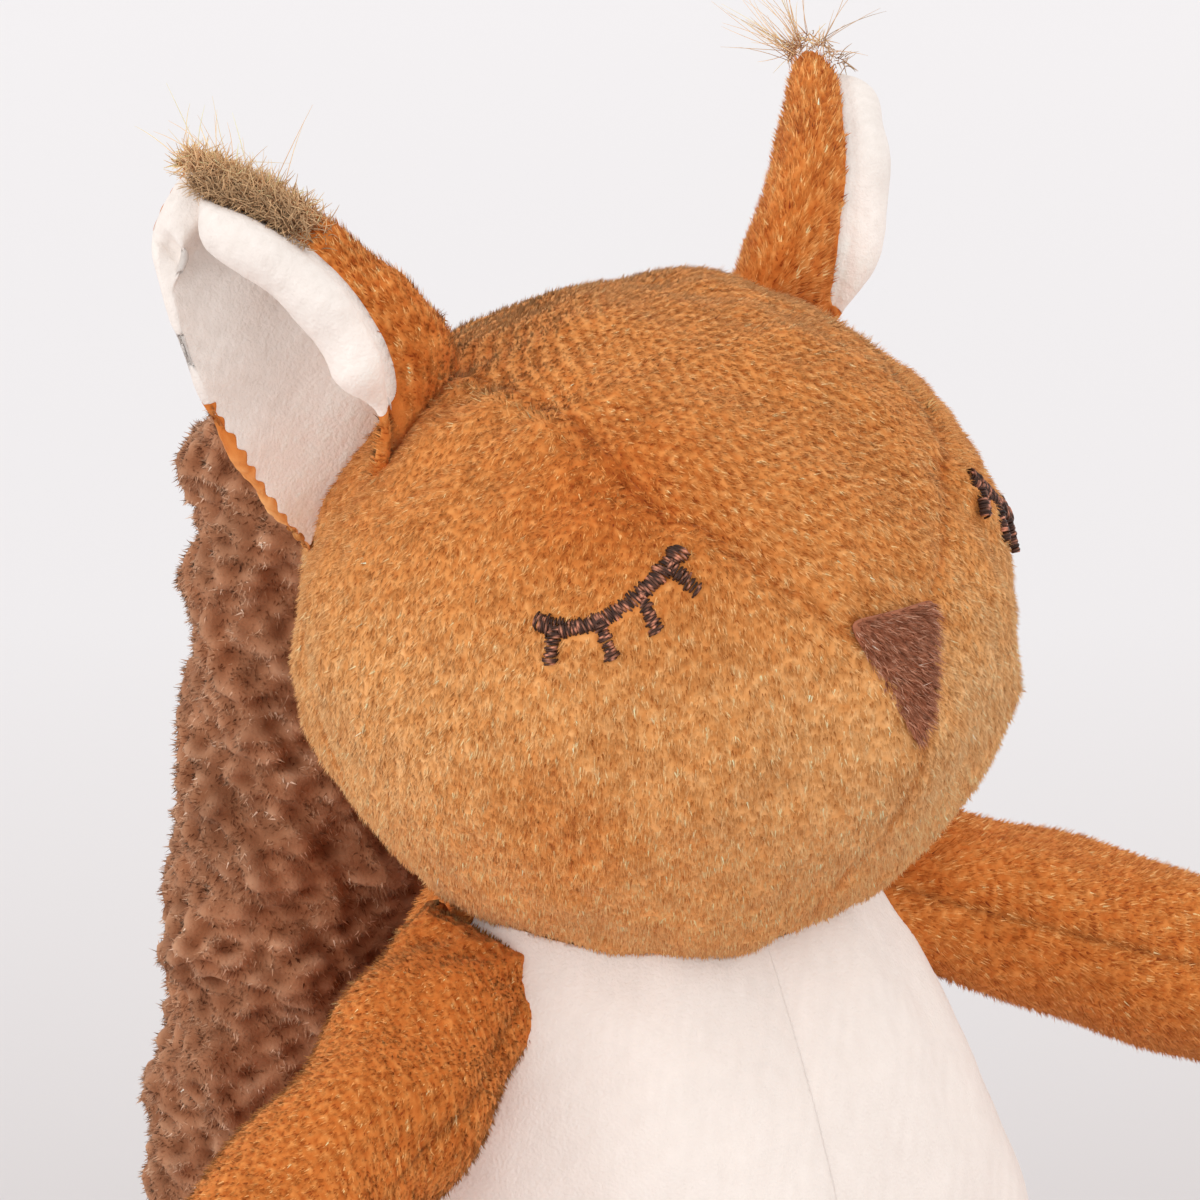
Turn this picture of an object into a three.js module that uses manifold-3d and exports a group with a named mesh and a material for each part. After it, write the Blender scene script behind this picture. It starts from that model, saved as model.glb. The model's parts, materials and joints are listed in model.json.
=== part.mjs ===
// A seated plush squirrel: sewn skin panels over lumps of stuffing.
// Millimetres, +Z up, the face towards -Y, the origin at the middle of the flat seat.
import * as THREE from 'three';
import { mergeVertices } from 'three/addons/utils/BufferGeometryUtils.js';
import Module from 'manifold-3d';

const wasm = await Module();
wasm.setup();

// Fabric and fit
const SKIN = 1.6;             // fabric with its short pile
const SEAM_GAP = 0.3;         // between two sewn panels
const FILL_GAP = 0.3;         // between the skin and the stuffing
const ROOT_GAP = 0.3;         // between a limb's root and what carries it
const TRIM_GAP = 0.3;         // under the nose patch and the embroidery
const TRIM = 0.9;             // thickness of the nose patch and the embroidery

// Torso, a pear that stands on a flat seat
const TORSO_WIDTH = 96;
const TORSO_DEPTH = 77;
const WIDEST_AT = 34;         // height of the widest girth
const SEAT_WIDTH = 70;
const SEAT_SEAM_AT = 3.4;     // height of the seam round the seat panel
const NECK_WIDTH = 44;
const NECK_AT = 104;          // height of the neck edge, before the head sits on it
const BELLY_RISE = 28;        // how far the girth stays full above its widest height
const CHEST_RUN = 14;         // slope of the chest below the neck: across
const CHEST_DROP = 20;        // slope of the chest below the neck: down

// Head, a round ball with a small muzzle
const HEAD_WIDTH = 76;
const HEAD_DEPTH = 74.4;
const HEAD_HEIGHT = 71;
const HEAD_SINK = 11.5;       // how far the head's underside lies below the neck edge
const HEAD_FORWARD = 2;
const MUZZLE_REACH = 5;
const MUZZLE_HALF_WIDTH = 9;
const MUZZLE_HALF_HEIGHT = 10;
const MUZZLE_DROP = 5;        // the muzzle's tip below the middle of the head
const HEAD_BACK_SEAM = 17;    // the back seam behind the middle of the head
const HEAD_BACK_LEAN = 0.35;  // how far that seam leans back for each millimetre up
const GUSSET_LEAN = 36.87;    // degrees that the gusset's middle faces forward of straight up
const GUSSET_NOSE_HALF = 5.6;
const GUSSET_BROW_HALF = 15.5;
const GUSSET_CROWN_HALF = 20.4;
const GUSSET_NOSE_AT = -24;   // places along the gusset, from its middle towards the back
const GUSSET_BROW_AT = -10.8;
const GUSSET_CROWN_AT = 4;

// Neck plug, the firm lump of fill that the head turns and nods on
const PLUG_WIDTH = 34;
const PLUG_RISE = 2.5;        // its middle above the head's underside
const NOD_RANGE = [-5, 8];    // degrees, as all the ranges below
const TURN_RANGE = [-25, 25];

// Nose and closed eyes
const NOSE_WIDTH = 12;
const NOSE_HEIGHT = 11.6;
const NOSE_TOP = 9.6;         // above the middle of the head
const NOSE_CORNER = 1.2;
const EYE_OUTER = [30.8, 17.7];   // degrees on the head: from the side towards the front, and up
const EYE_BOW = [40.6, 13.6];
const EYE_INNER = [54.1, 29.9];
const EYE_LINE = 1.7;             // width of the stitched arc
const LASH_LINE = 1.4;
const LASHES = [[0.16, -0.5, -5.8], [0.48, 2.2, -6], [0.74, 2.7, -6], [0.92, 4.7, -4.4]];

// Ears, leaves folded forward along their inner side.
// Four lines run from the base to the tip, each through three places: up from the base's
// middle, towards the base's outer end, and forward.
const EAR_OUTER_EDGE = [[1, 11.5, 4], [19, -1, 13], [30.5, -11.5, 6.5]];
const EAR_SPINE = [[2, -1, 1], [17.5, -8.5, 3.5], [33, -13, 3]];
const EAR_FOLD = [[1, -14.5, 0.5], [13.5, -18.5, 2], [32.5, -17.5, 1]];
const EAR_INNER_EDGE = [[2, -8.5, 9.5], [13.5, -18.5, 8.5], [30.5, -17.5, 4.5]];
const EAR_INNER_END = [27.3, 53.9];   // ends of the sewn base, degrees: from the side back, and up
const EAR_OUTER_END = [41.2, 9.7];
const EAR_GAP = 0.45;         // between the back and the lining
const EAR_BACK_SKIN = 1.6;
const EAR_LINING_SKIN = 1.4;
const EAR_LIP = 1.2;          // how much thicker the lining is at the inner edge
const EAR_LIP_SHARE = 0.15;   // share of the width over which it thins
const EAR_TUCK = 0.13;        // share of the length that runs into the head before it is trimmed
const EAR_RANGE = [-15, 15];
const TUFT_SPAN = [0.6, 1.05];    // where the tuft starts and ends along the ear
const TUFT_THICK = 4.2;

// Arms
const ARM_LENGTH = 62;
const ARM_ROOT_WIDTH = 17;
const ARM_WIDTH = 20;
const ARM_HAND_WIDTH = 18.4;
const ARM_DROOP = 5;
const ARM_SEAM_TILT = 3;      // degrees that the seam is turned from the level of the arm
const SHOULDER_AT = 94.5;
const SHOULDER_TURN = 16;     // degrees from the side towards the front
const ARM_DOWN = 21;          // degrees that the arm points below level
const ARM_FORWARD = 16;       // degrees that the arm points forward of straight sideways
const ARM_RANGE = [-25, 25];
const LIMB_TUCK = 8;          // how far an arm or a leg runs into its seam before it is trimmed

// Legs
const LEG_LENGTH = 60;
const KNEE_AT = 18;           // places along the leg, from the hip
const HEEL_AT = 43;
const LEG_ROOT_WIDTH = 24;
const LEG_WIDTH = 25;
const FOOT_WIDTH = 23;
const FOOT_RISE = 14;         // the toes above the heel
const FLOOR_GAP = 0.4;        // under the legs
const HIP_AT = 19;
const HIP_TURN = 58;
const LEG_RANGE = [-15, 40];

// Tail
const TAIL_AT = 24;
const TAIL_START = [-6, -4];  // places of its middle line: behind and above the root
const TAIL_BEND = [15.5, 10];
const TAIL_MIDDLE = [14.5, 60];
const TAIL_TOP = [13.5, 127];
const TAIL_ROOT_WIDTH = 50;
const TAIL_WIDTH = 42;
const TAIL_TOP_WIDTH = 31;
const TAIL_ROOT_THICK = 28;
const TAIL_THICK = 30;
const TAIL_TOP_THICK = 24;
const TAIL_RANGE = [-1, 50];

// Facets
const HEAD_SEGMENTS = [26, 14];
const CORE_SEGMENTS = [16, 8];
const TORSO_SEGMENTS = 26;
const HAUNCH_STEPS = [4, 3];  // for the skin, and for the stuffing
const FLANK_STEPS = [7, 5];
const LIMB_SIDES = 12;
const CORE_SIDES = 8;
const LIMB_STEPS = 6;
const CAP_ANGLES = [35, 65];
const EAR_ROWS = 10;
const EAR_COLUMNS = 12;       // from the inner edge
const TUFT_COLUMNS = [1, 6];
const EYE_STEPS = 8;
const LASH_STEPS = 2;
const GUSSET_STEPS = 12;
const NOSE_CORNER_STEPS = 3;

// Tolerances
const SAME_POINT = 1e-4;
const SAME_HEIGHT = 1e-6;
const SLOPE_STEP = 0.01;      // share of the ear over which its slope is taken

const X = new THREE.Vector3(1, 0, 0);
const Y = new THREE.Vector3(0, 1, 0);
const Z = new THREE.Vector3(0, 0, 1);
const REACH = 2 * (NECK_AT + HEAD_HEIGHT);
const radians = THREE.MathUtils.degToRad;
const headHalf = new THREE.Vector3(HEAD_WIDTH / 2, HEAD_DEPTH / 2, HEAD_HEIGHT / 2);
const headMiddle = new THREE.Vector3(0, -HEAD_FORWARD, NECK_AT - HEAD_SINK + HEAD_HEIGHT / 2);
const neckPivot = new THREE.Vector3(0, -HEAD_FORWARD, NECK_AT - HEAD_SINK + PLUG_RISE);

// A geometry with only its positions, the doubled points along its edges and seams joined.
function sealed(geometry) {
  const bare = new THREE.BufferGeometry();
  bare.setAttribute('position', geometry.getAttribute('position').clone());
  bare.setIndex(geometry.index);
  return mergeVertices(bare, SAME_POINT);
}

// A three.js geometry as a solid, its faces turned outward.
function solidOf(geometry) {
  const joined = sealed(geometry);
  const vertProperties = new Float32Array(joined.getAttribute('position').array);
  const triVerts = new Uint32Array(joined.index.array);
  const at = (i) => new THREE.Vector3().fromArray(vertProperties, 3 * triVerts[i]);
  let sixfold = 0;
  for (let i = 0; i < triVerts.length; i += 3) {
    sixfold += at(i).dot(at(i + 1).cross(at(i + 2)));
  }
  if (sixfold < 0) {
    triVerts.reverse();
  }
  return new wasm.Manifold(new wasm.Mesh({ numProp: 3, vertProperties, triVerts }));
}

// A closed body through rings of points, each end closed by a fan.
function loft(rings) {
  const sides = rings[0].length;
  const points = rings.flat();
  const middle = (ring) => ring.reduce((sum, p) => sum.add(p), new THREE.Vector3()).divideScalar(sides);
  const first = points.push(middle(rings[0])) - 1;
  const last = points.push(middle(rings[rings.length - 1])) - 1;
  const lastRing = (rings.length - 1) * sides;
  const faces = [];
  for (let s = 0; s < sides; s++) {
    const next = (s + 1) % sides;
    faces.push(first, next, s);
    faces.push(last, lastRing + s, lastRing + next);
    for (let r = 0; r < lastRing; r += sides) {
      faces.push(r + s, r + next, r + next + sides);
      faces.push(r + s, r + next + sides, r + s + sides);
    }
  }
  const geometry = new THREE.BufferGeometry().setFromPoints(points);
  geometry.setIndex(faces);
  return geometry;
}

// The half of space beyond a plane, as a large block.
function halfSpace(point, normal) {
  const block = new THREE.BoxGeometry(2 * REACH, 2 * REACH, REACH);
  block.translate(0, 0, REACH / 2);
  block.applyQuaternion(new THREE.Quaternion().setFromUnitVectors(Z, normal));
  block.translate(point.x, point.y, point.z);
  return solidOf(block);
}

function about(axis, degrees) {
  return new THREE.Quaternion().setFromAxisAngle(axis, radians(degrees));
}

function turned(vector, axis, degrees) {
  return vector.clone().applyQuaternion(about(axis, degrees));
}

// The quadratic that takes the values a, b and c at 0, a half and 1.
function through(a, b, c, u) {
  return a * (1 - u) * (1 - 2 * u) + 4 * b * u * (1 - u) + c * u * (2 * u - 1);
}

// The weights of the cubic that passes through four values at 0, one third, two thirds and 1.
function fourWeights(t) {
  const [a, b, c, d] = [t, t - 1 / 3, t - 2 / 3, t - 1];
  return [-4.5 * b * c * d, 13.5 * a * c * d, -13.5 * a * b * d, 4.5 * a * b * c];
}

// Both halves of a solid at a seam plane, with the seam's gap between them.
function split(solid, point, normal) {
  const shift = normal.clone().multiplyScalar(SEAM_GAP / 2);
  const ahead = halfSpace(point.clone().add(shift), normal);
  const behind = halfSpace(point.clone().sub(shift), normal.clone().negate());
  return [solid.intersect(ahead), solid.intersect(behind)];
}

// Skin and stuffing of one form: make(inset, coarse) gives the form drawn in by an inset.
function stuffed(make) {
  return {
    skin: make(0, false).subtract(make(SKIN, true)),
    fill: make(SKIN + FILL_GAP, true),
  };
}

// The torso's profile from the seat up to the neck, as half-widths and heights.
const flank = new THREE.CubicBezierCurve(
  new THREE.Vector2(TORSO_WIDTH / 2, WIDEST_AT),
  new THREE.Vector2(TORSO_WIDTH / 2, WIDEST_AT + BELLY_RISE),
  new THREE.Vector2(NECK_WIDTH / 2 + CHEST_RUN, NECK_AT - CHEST_DROP),
  new THREE.Vector2(NECK_WIDTH / 2, NECK_AT));
const haunch = new THREE.QuadraticBezierCurve(
  new THREE.Vector2(SEAT_WIDTH / 2, 0),
  new THREE.Vector2(TORSO_WIDTH / 2, 0),
  new THREE.Vector2(TORSO_WIDTH / 2, WIDEST_AT));

// Point and outward normal on the torso, at a height and an angle from the side to the front.
function onTorso(height, turn) {
  const curve = height > WIDEST_AT ? flank : haunch;
  let low = 0;
  let high = 1;
  while (high - low > SAME_HEIGHT) {
    const middle = (low + high) / 2;
    if (curve.getPoint(middle).y < height) {
      low = middle;
    } else {
      high = middle;
    }
  }
  const half = curve.getPoint(low).x;
  const tangent = curve.getTangent(low);
  const flat = TORSO_DEPTH / TORSO_WIDTH;
  const c = Math.cos(radians(turn));
  const s = Math.sin(radians(turn));
  const point = new THREE.Vector3(half * c, -half * flat * s, height);
  const normal = new THREE.Vector3(c, -s / flat, -tangent.x / tangent.y).normalize();
  return { point, normal };
}

function torsoForm(inset, coarse) {
  const kind = coarse ? 1 : 0;
  const drawnIn = (p) => new THREE.Vector2(p.x - inset, inset + p.y * (NECK_AT - 2 * inset) / NECK_AT);
  const lower = haunch.getPoints(HAUNCH_STEPS[kind]);
  const upper = flank.getPoints(FLANK_STEPS[kind]).slice(1);
  const outline = [...lower, ...upper].map(drawnIn);
  const profile = [new THREE.Vector2(0, inset), ...outline, new THREE.Vector2(0, NECK_AT - inset)];
  const lathe = sealed(new THREE.LatheGeometry(profile, coarse ? CORE_SEGMENTS[0] : TORSO_SEGMENTS));
  lathe.rotateX(Math.PI / 2);
  const wide = TORSO_WIDTH / 2 - inset;
  lathe.scale(1, (TORSO_DEPTH / 2 - inset) / wide, 1);
  return solidOf(lathe);
}

// The head's surface in a direction, drawn in by an inset, about the middle of the head.
function headAt(direction, inset) {
  const p = new THREE.Vector3(
    direction.x * (headHalf.x - inset),
    direction.y * (headHalf.y - inset),
    direction.z * (headHalf.z - inset));
  if (p.y < 0) {
    const across = p.x / MUZZLE_HALF_WIDTH;
    const up = (p.z + MUZZLE_DROP) / MUZZLE_HALF_HEIGHT;
    p.y -= MUZZLE_REACH * Math.exp(-across * across - up * up);
  }
  return p.add(headMiddle);
}

// The direction on the head at an angle from its side towards the front, and an angle up.
function headDirection(side, ahead, up) {
  const level = Math.cos(radians(up));
  return new THREE.Vector3(
    side * level * Math.cos(radians(ahead)),
    -level * Math.sin(radians(ahead)),
    Math.sin(radians(up)));
}

function headGeometry(inset, segments) {
  const ball = sealed(new THREE.SphereGeometry(1, ...segments));
  ball.rotateX(Math.PI / 2);
  const spots = ball.getAttribute('position');
  for (let i = 0; i < spots.count; i++) {
    const direction = new THREE.Vector3().fromBufferAttribute(spots, i);
    spots.setXYZ(i, ...headAt(direction, inset).toArray());
  }
  return ball;
}

function headForm(inset, coarse) {
  return solidOf(headGeometry(inset, coarse ? CORE_SEGMENTS : HEAD_SEGMENTS));
}

// The space that a solid needs at rest and in other poses about a pivot.
function swept(solid, pivot, poses) {
  const there = new THREE.Matrix4().makeTranslation(pivot);
  const back = there.clone().invert();
  return poses.reduce((space, pose) => {
    const turn = new THREE.Matrix4().makeRotationFromQuaternion(pose);
    return space.add(solid.transform(there.clone().multiply(turn).multiply(back).elements));
  }, solid);
}

// The space that the head needs as it turns and nods.
function headRoom(grow) {
  const turns = [TURN_RANGE[0], 0, TURN_RANGE[1]];
  const poses = NOD_RANGE.flatMap((nod) => turns.map((turn) => about(Z, turn).multiply(about(X, nod))));
  return swept(headForm(-grow, false), neckPivot, poses);
}

function plugForm(radius) {
  const ball = sealed(new THREE.SphereGeometry(radius, ...CORE_SEGMENTS));
  ball.rotateX(Math.PI / 2);
  ball.translate(neckPivot.x, neckPivot.y, neckPivot.z);
  return solidOf(ball);
}

// The hollow round the neck plug, wide enough for the plug's corners to pass the hollow's flats.
function plugHollow() {
  const flats = Math.cos(Math.PI / CORE_SEGMENTS[0]) * Math.cos(Math.PI / CORE_SEGMENTS[1] / 2);
  return plugForm((PLUG_WIDTH / 2 + FILL_GAP) / flats);
}

// A round tapered limb along a path, with a rounded end. sizeAt gives half width and half height.
function limbForm(path, sizeAt, reference, inset, coarse) {
  const length = path.getLength();
  const tip = sizeAt(1).x;
  const straight = 1 - tip / length;
  const stations = [];
  for (let i = 0; i <= LIMB_STEPS; i++) {
    stations.push({ u: straight * i / LIMB_STEPS, shrink: 1 });
  }
  for (const angle of CAP_ANGLES) {
    const along = (tip - inset) * Math.sin(radians(angle));
    stations.push({ u: straight + along / length, shrink: Math.cos(radians(angle)) });
  }
  const sides = coarse ? CORE_SIDES : LIMB_SIDES;
  const rings = stations.map(({ u, shrink }) => {
    const middle = path.getPointAt(u);
    const ahead = path.getTangentAt(u);
    const across = ahead.clone().cross(reference).normalize();
    const upward = across.clone().cross(ahead);
    const size = sizeAt(u);
    const ring = [];
    for (let s = 0; s < sides; s++) {
      const angle = 2 * Math.PI * s / sides;
      const point = middle.clone();
      point.addScaledVector(across, Math.cos(angle) * (size.x - inset) * shrink);
      point.addScaledVector(upward, Math.sin(angle) * (size.y - inset) * shrink);
      ring.push(point);
    }
    return ring;
  });
  return solidOf(loft(rings));
}

// A limb trimmed at its root so that it clears its carrier over the whole of its hinge's range.
function rooted(make, root, hinge, range) {
  return stuffed((inset, coarse) => {
    let limb = make(inset, coarse);
    const point = root.point.clone().addScaledVector(root.normal, ROOT_GAP);
    for (const angle of range) {
      const normal = turned(root.normal, hinge, -angle);
      limb = limb.intersect(halfSpace(point.clone().addScaledVector(normal, inset), normal));
    }
    return limb;
  });
}

// The line on a surface nearest to a direction.
function alongSurface(direction, normal) {
  return direction.clone().addScaledVector(normal, -direction.dot(normal)).normalize();
}

function mirroredRoot(root, side) {
  const flip = new THREE.Vector3(side, 1, 1);
  return { point: root.point.clone().multiply(flip), normal: root.normal.clone().multiply(flip) };
}

// Arms: positive angles raise the hand.
function arm(side) {
  const root = mirroredRoot(onTorso(SHOULDER_AT, SHOULDER_TURN), side);
  const hinge = alongSurface(Y, root.normal).multiplyScalar(-side);
  const aim = headDirection(side, ARM_FORWARD, -ARM_DOWN);
  const path = new THREE.QuadraticBezierCurve3(
    root.point.clone().addScaledVector(aim, -LIMB_TUCK),
    root.point.clone().addScaledVector(aim, ARM_LENGTH / 2),
    root.point.clone().addScaledVector(aim, ARM_LENGTH).addScaledVector(Z, -ARM_DROOP));
  const sizeAt = (u) => {
    const half = through(ARM_ROOT_WIDTH, ARM_WIDTH, ARM_HAND_WIDTH, u) / 2;
    return new THREE.Vector2(half, half);
  };
  const underHead = about(hinge, -ARM_RANGE[1]);
  const make = (inset, coarse) => {
    const cheek = swept(headRoom(ROOT_GAP + inset), root.point, [underHead]);
    return limbForm(path, sizeAt, Z, inset, coarse).subtract(cheek);
  };
  const { skin, fill } = rooted(make, root, hinge, ARM_RANGE);
  const seam = turned(alongSurface(Z, aim), aim, side * -ARM_SEAM_TILT);
  const [top, under] = split(skin, root.point, seam);
  return { pivot: root.point, hinge, top, under, fill };
}

// Legs: positive angles lift the foot.
function leg(side) {
  const root = mirroredRoot(onTorso(HIP_AT, HIP_TURN), side);
  const hinge = alongSurface(X, root.normal).negate();
  const aim = alongSurface(root.normal, Z);
  const level = LEG_WIDTH / 2 + FLOOR_GAP;
  const along = (distance, height) => {
    const place = root.point.clone().addScaledVector(aim, distance);
    return place.setZ(height);
  };
  const path = new THREE.CatmullRomCurve3([
    along(-LIMB_TUCK, HIP_AT),
    along(KNEE_AT, level),
    along(HEEL_AT, level),
    along(LEG_LENGTH, level + FOOT_RISE + FOOT_WIDTH / 2)]);
  const sizeAt = (u) => {
    const half = through(LEG_ROOT_WIDTH, LEG_WIDTH, FOOT_WIDTH, u) / 2;
    return new THREE.Vector2(half, half);
  };
  const across = aim.clone().cross(Z);
  const make = (inset, coarse) => {
    const limb = limbForm(path, sizeAt, across, inset, coarse);
    return limb.intersect(halfSpace(new THREE.Vector3(0, 0, FLOOR_GAP + inset), Z));
  };
  const { skin, fill } = rooted(make, root, hinge, LEG_RANGE);
  const outward = across.clone().multiplyScalar(Math.sign(across.x) * side);
  const [outer, inner] = split(skin, root.point, outward);
  return { pivot: root.point, hinge, outer, inner, fill };
}

// Tail: positive angles tip it back, away from the head.
function tail() {
  const root = onTorso(TAIL_AT, -90);
  root.point.x = 0;
  root.normal.setX(0).normalize();
  const hinge = X.clone().negate();
  const behind = ([back, up]) => root.point.clone().addScaledVector(Y, back).addScaledVector(Z, up);
  const path = new THREE.CatmullRomCurve3([TAIL_START, TAIL_BEND, TAIL_MIDDLE, TAIL_TOP].map(behind));
  const sizeAt = (u) => {
    const wide = through(TAIL_ROOT_WIDTH, TAIL_WIDTH, TAIL_TOP_WIDTH, u);
    const thick = through(TAIL_ROOT_THICK, TAIL_THICK, TAIL_TOP_THICK, u);
    return new THREE.Vector2(wide, thick).divideScalar(2);
  };
  const make = (inset, coarse) => limbForm(path, sizeAt, Y, inset, coarse);
  const { skin, fill } = rooted(make, root, hinge, TAIL_RANGE);
  const [left, right] = split(skin, root.point, X);
  return { pivot: root.point, hinge, left, right, fill };
}

// One ear: a folded leaf of two fabrics, with a tuft of fur on the outside of the fold.
function ear(side) {
  const end = ([back, up]) => headAt(headDirection(side, -back, up), 0);
  const inner = end(EAR_INNER_END);
  const outer = end(EAR_OUTER_END);
  const along = outer.clone().sub(inner).normalize();
  const chord = inner.clone().add(outer).divideScalar(2);
  const radial = chord.clone().sub(headMiddle).divide(headHalf).normalize();
  const base = headAt(radial, 0);
  const normal = radial.clone().divide(headHalf).normalize();
  const rise = alongSurface(normal, along);
  const front = along.clone().cross(rise).multiplyScalar(side);
  const hinge = along.clone().multiplyScalar(side);

  // u runs from the base to the tip, v from the inner edge to the outer edge.
  const lines = [EAR_INNER_EDGE, EAR_FOLD, EAR_SPINE, EAR_OUTER_EDGE];
  const sheetAt = (u, v) => {
    const point = chord.clone();
    fourWeights(v).forEach((weight, i) => {
      const [low, middle, tip] = lines[i];
      [rise, along, front].forEach((axis, k) => {
        point.addScaledVector(axis, weight * through(low[k], middle[k], tip[k], u));
      });
    });
    return point;
  };
  const facingAt = (u, v) => {
    const alongV = sheetAt(u, v + SLOPE_STEP).sub(sheetAt(u, v - SLOPE_STEP));
    const alongU = sheetAt(u + SLOPE_STEP, v).sub(sheetAt(u - SLOPE_STEP, v));
    return alongV.cross(alongU).setLength(side);
  };
  // A slab over a part of the sheet, between two offsets from it: a block bent to the sheet.
  // The lip thickens its far side towards the inner edge.
  const slab = (span, columns, offsets, lip) => {
    const block = sealed(new THREE.BoxGeometry(1, 1, 1, EAR_ROWS, columns[1] - columns[0], 1));
    block.translate(0.5, 0.5, 0.5);
    const spots = block.getAttribute('position');
    for (let i = 0; i < spots.count; i++) {
      const u = THREE.MathUtils.lerp(...span, spots.getX(i));
      const v = THREE.MathUtils.lerp(...columns, spots.getY(i)) / EAR_COLUMNS;
      const swelling = lip * spots.getZ(i) * Math.exp(-((v / EAR_LIP_SHARE) ** 2));
      const offset = THREE.MathUtils.lerp(...offsets, spots.getZ(i)) + swelling;
      const point = sheetAt(u, v).addScaledVector(facingAt(u, v), offset);
      spots.setXYZ(i, ...point.toArray());
    }
    return solidOf(block);
  };
  const clear = swept(headForm(-ROOT_GAP, false), base, EAR_RANGE.map((angle) => about(hinge, angle)));
  const outside = -EAR_GAP / 2 - EAR_BACK_SKIN;
  const inside = EAR_GAP / 2 + EAR_LINING_SKIN;
  const tuftFoot = outside - TRIM_GAP;
  const whole = [-EAR_TUCK, 1];
  const width = [0, EAR_COLUMNS];
  const back = slab(whole, width, [outside, -EAR_GAP / 2], 0).subtract(clear);
  const lining = slab(whole, width, [EAR_GAP / 2, inside], EAR_LIP).subtract(clear);
  const tuft = slab(TUFT_SPAN, TUFT_COLUMNS, [tuftFoot - TUFT_THICK, tuftFoot], 0);
  return { pivot: base, hinge, back, lining, tuft };
}

// The wedge of space above the head gusset, wide at the crown and narrow at the nose.
function gussetPrism(grow) {
  const nose = GUSSET_NOSE_HALF + grow;
  const brow = GUSSET_BROW_HALF + grow;
  const crown = GUSSET_CROWN_HALF + grow;
  const edge = new THREE.SplineCurve([
    new THREE.Vector2(nose, GUSSET_NOSE_AT - grow),
    new THREE.Vector2(brow, GUSSET_BROW_AT),
    new THREE.Vector2(crown, GUSSET_CROWN_AT),
    new THREE.Vector2(crown, HEAD_DEPTH)]).getPoints(GUSSET_STEPS);
  const outline = [...edge, ...edge.slice().reverse().map((p) => new THREE.Vector2(-p.x, p.y))];
  const reach = { depth: HEAD_HEIGHT, bevelEnabled: false };
  const prism = new THREE.ExtrudeGeometry(new THREE.Shape(outline), reach);
  prism.rotateX(radians(GUSSET_LEAN));
  prism.translate(headMiddle.x, headMiddle.y, headMiddle.z);
  return solidOf(prism);
}

function headPanels() {
  const { skin, fill } = stuffed(headForm);
  const plug = plugHollow();
  const hollow = skin.subtract(plug);
  const seamPoint = headMiddle.clone().addScaledVector(Y, HEAD_BACK_SEAM);
  const seamNormal = new THREE.Vector3(0, 1, -HEAD_BACK_LEAN).normalize();
  const [back, face] = split(hollow, seamPoint, seamNormal);
  const gusset = face.intersect(gussetPrism(-SEAM_GAP / 2));
  const cheeks = face.subtract(gussetPrism(SEAM_GAP / 2));
  const [left, right] = split(cheeks, headMiddle, X);
  return { back, gusset, left, right, fill: fill.subtract(plug) };
}

// A triangle of plush with soft corners on the muzzle, laid over the seams.
function nosePatch() {
  const half = NOSE_WIDTH / 2;
  const shape = new THREE.Shape();
  shape.moveTo(-half + NOSE_CORNER, NOSE_TOP);
  shape.lineTo(half - NOSE_CORNER, NOSE_TOP);
  shape.quadraticCurveTo(half, NOSE_TOP, half - NOSE_CORNER / 2, NOSE_TOP - NOSE_CORNER);
  shape.lineTo(NOSE_CORNER / 2, NOSE_TOP - NOSE_HEIGHT + NOSE_CORNER);
  shape.quadraticCurveTo(0, NOSE_TOP - NOSE_HEIGHT, -NOSE_CORNER / 2, NOSE_TOP - NOSE_HEIGHT + NOSE_CORNER);
  shape.lineTo(-half + NOSE_CORNER / 2, NOSE_TOP - NOSE_CORNER);
  shape.quadraticCurveTo(-half, NOSE_TOP, -half + NOSE_CORNER, NOSE_TOP);
  const reach = { depth: HEAD_DEPTH, bevelEnabled: false, curveSegments: NOSE_CORNER_STEPS };
  const prism = new THREE.ExtrudeGeometry(shape, reach);
  prism.rotateX(Math.PI / 2);
  prism.translate(headMiddle.x, headMiddle.y, headMiddle.z);
  const cover = headForm(-TRIM_GAP - TRIM, false).subtract(headForm(-TRIM_GAP, false));
  return cover.intersect(solidOf(prism));
}

// A flat band of stitches laid on the head along points given as angles.
function stitchBand(side, spots, width) {
  const rings = spots.map((spot, i) => {
    const before = spots[Math.max(i - 1, 0)];
    const after = spots[Math.min(i + 1, spots.length - 1)];
    const direction = headDirection(side, spot.x, spot.y);
    const ahead = headAt(headDirection(side, after.x, after.y), 0);
    ahead.sub(headAt(headDirection(side, before.x, before.y), 0));
    const across = ahead.cross(direction).setLength(width / 2);
    const low = headAt(direction, -TRIM_GAP);
    const high = headAt(direction, -TRIM_GAP - TRIM);
    const inner = [low.clone().sub(across), low.clone().add(across)];
    return [...inner, high.clone().add(across), high.clone().sub(across)];
  });
  return solidOf(loft(rings));
}

// A closed eye: an arc of satin stitch with four lashes below it.
function eye(side) {
  const arc = new THREE.QuadraticBezierCurve(
    new THREE.Vector2(...EYE_OUTER), new THREE.Vector2(...EYE_BOW), new THREE.Vector2(...EYE_INNER));
  let stitches = stitchBand(side, arc.getPoints(EYE_STEPS), EYE_LINE);
  for (const [at, ahead, up] of LASHES) {
    const start = arc.getPoint(at);
    const end = new THREE.Vector2(start.x + ahead, start.y + up);
    const lash = new THREE.LineCurve(start, end).getPoints(LASH_STEPS);
    stitches = stitches.add(stitchBand(side, lash, LASH_LINE));
  }
  return stitches;
}

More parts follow.
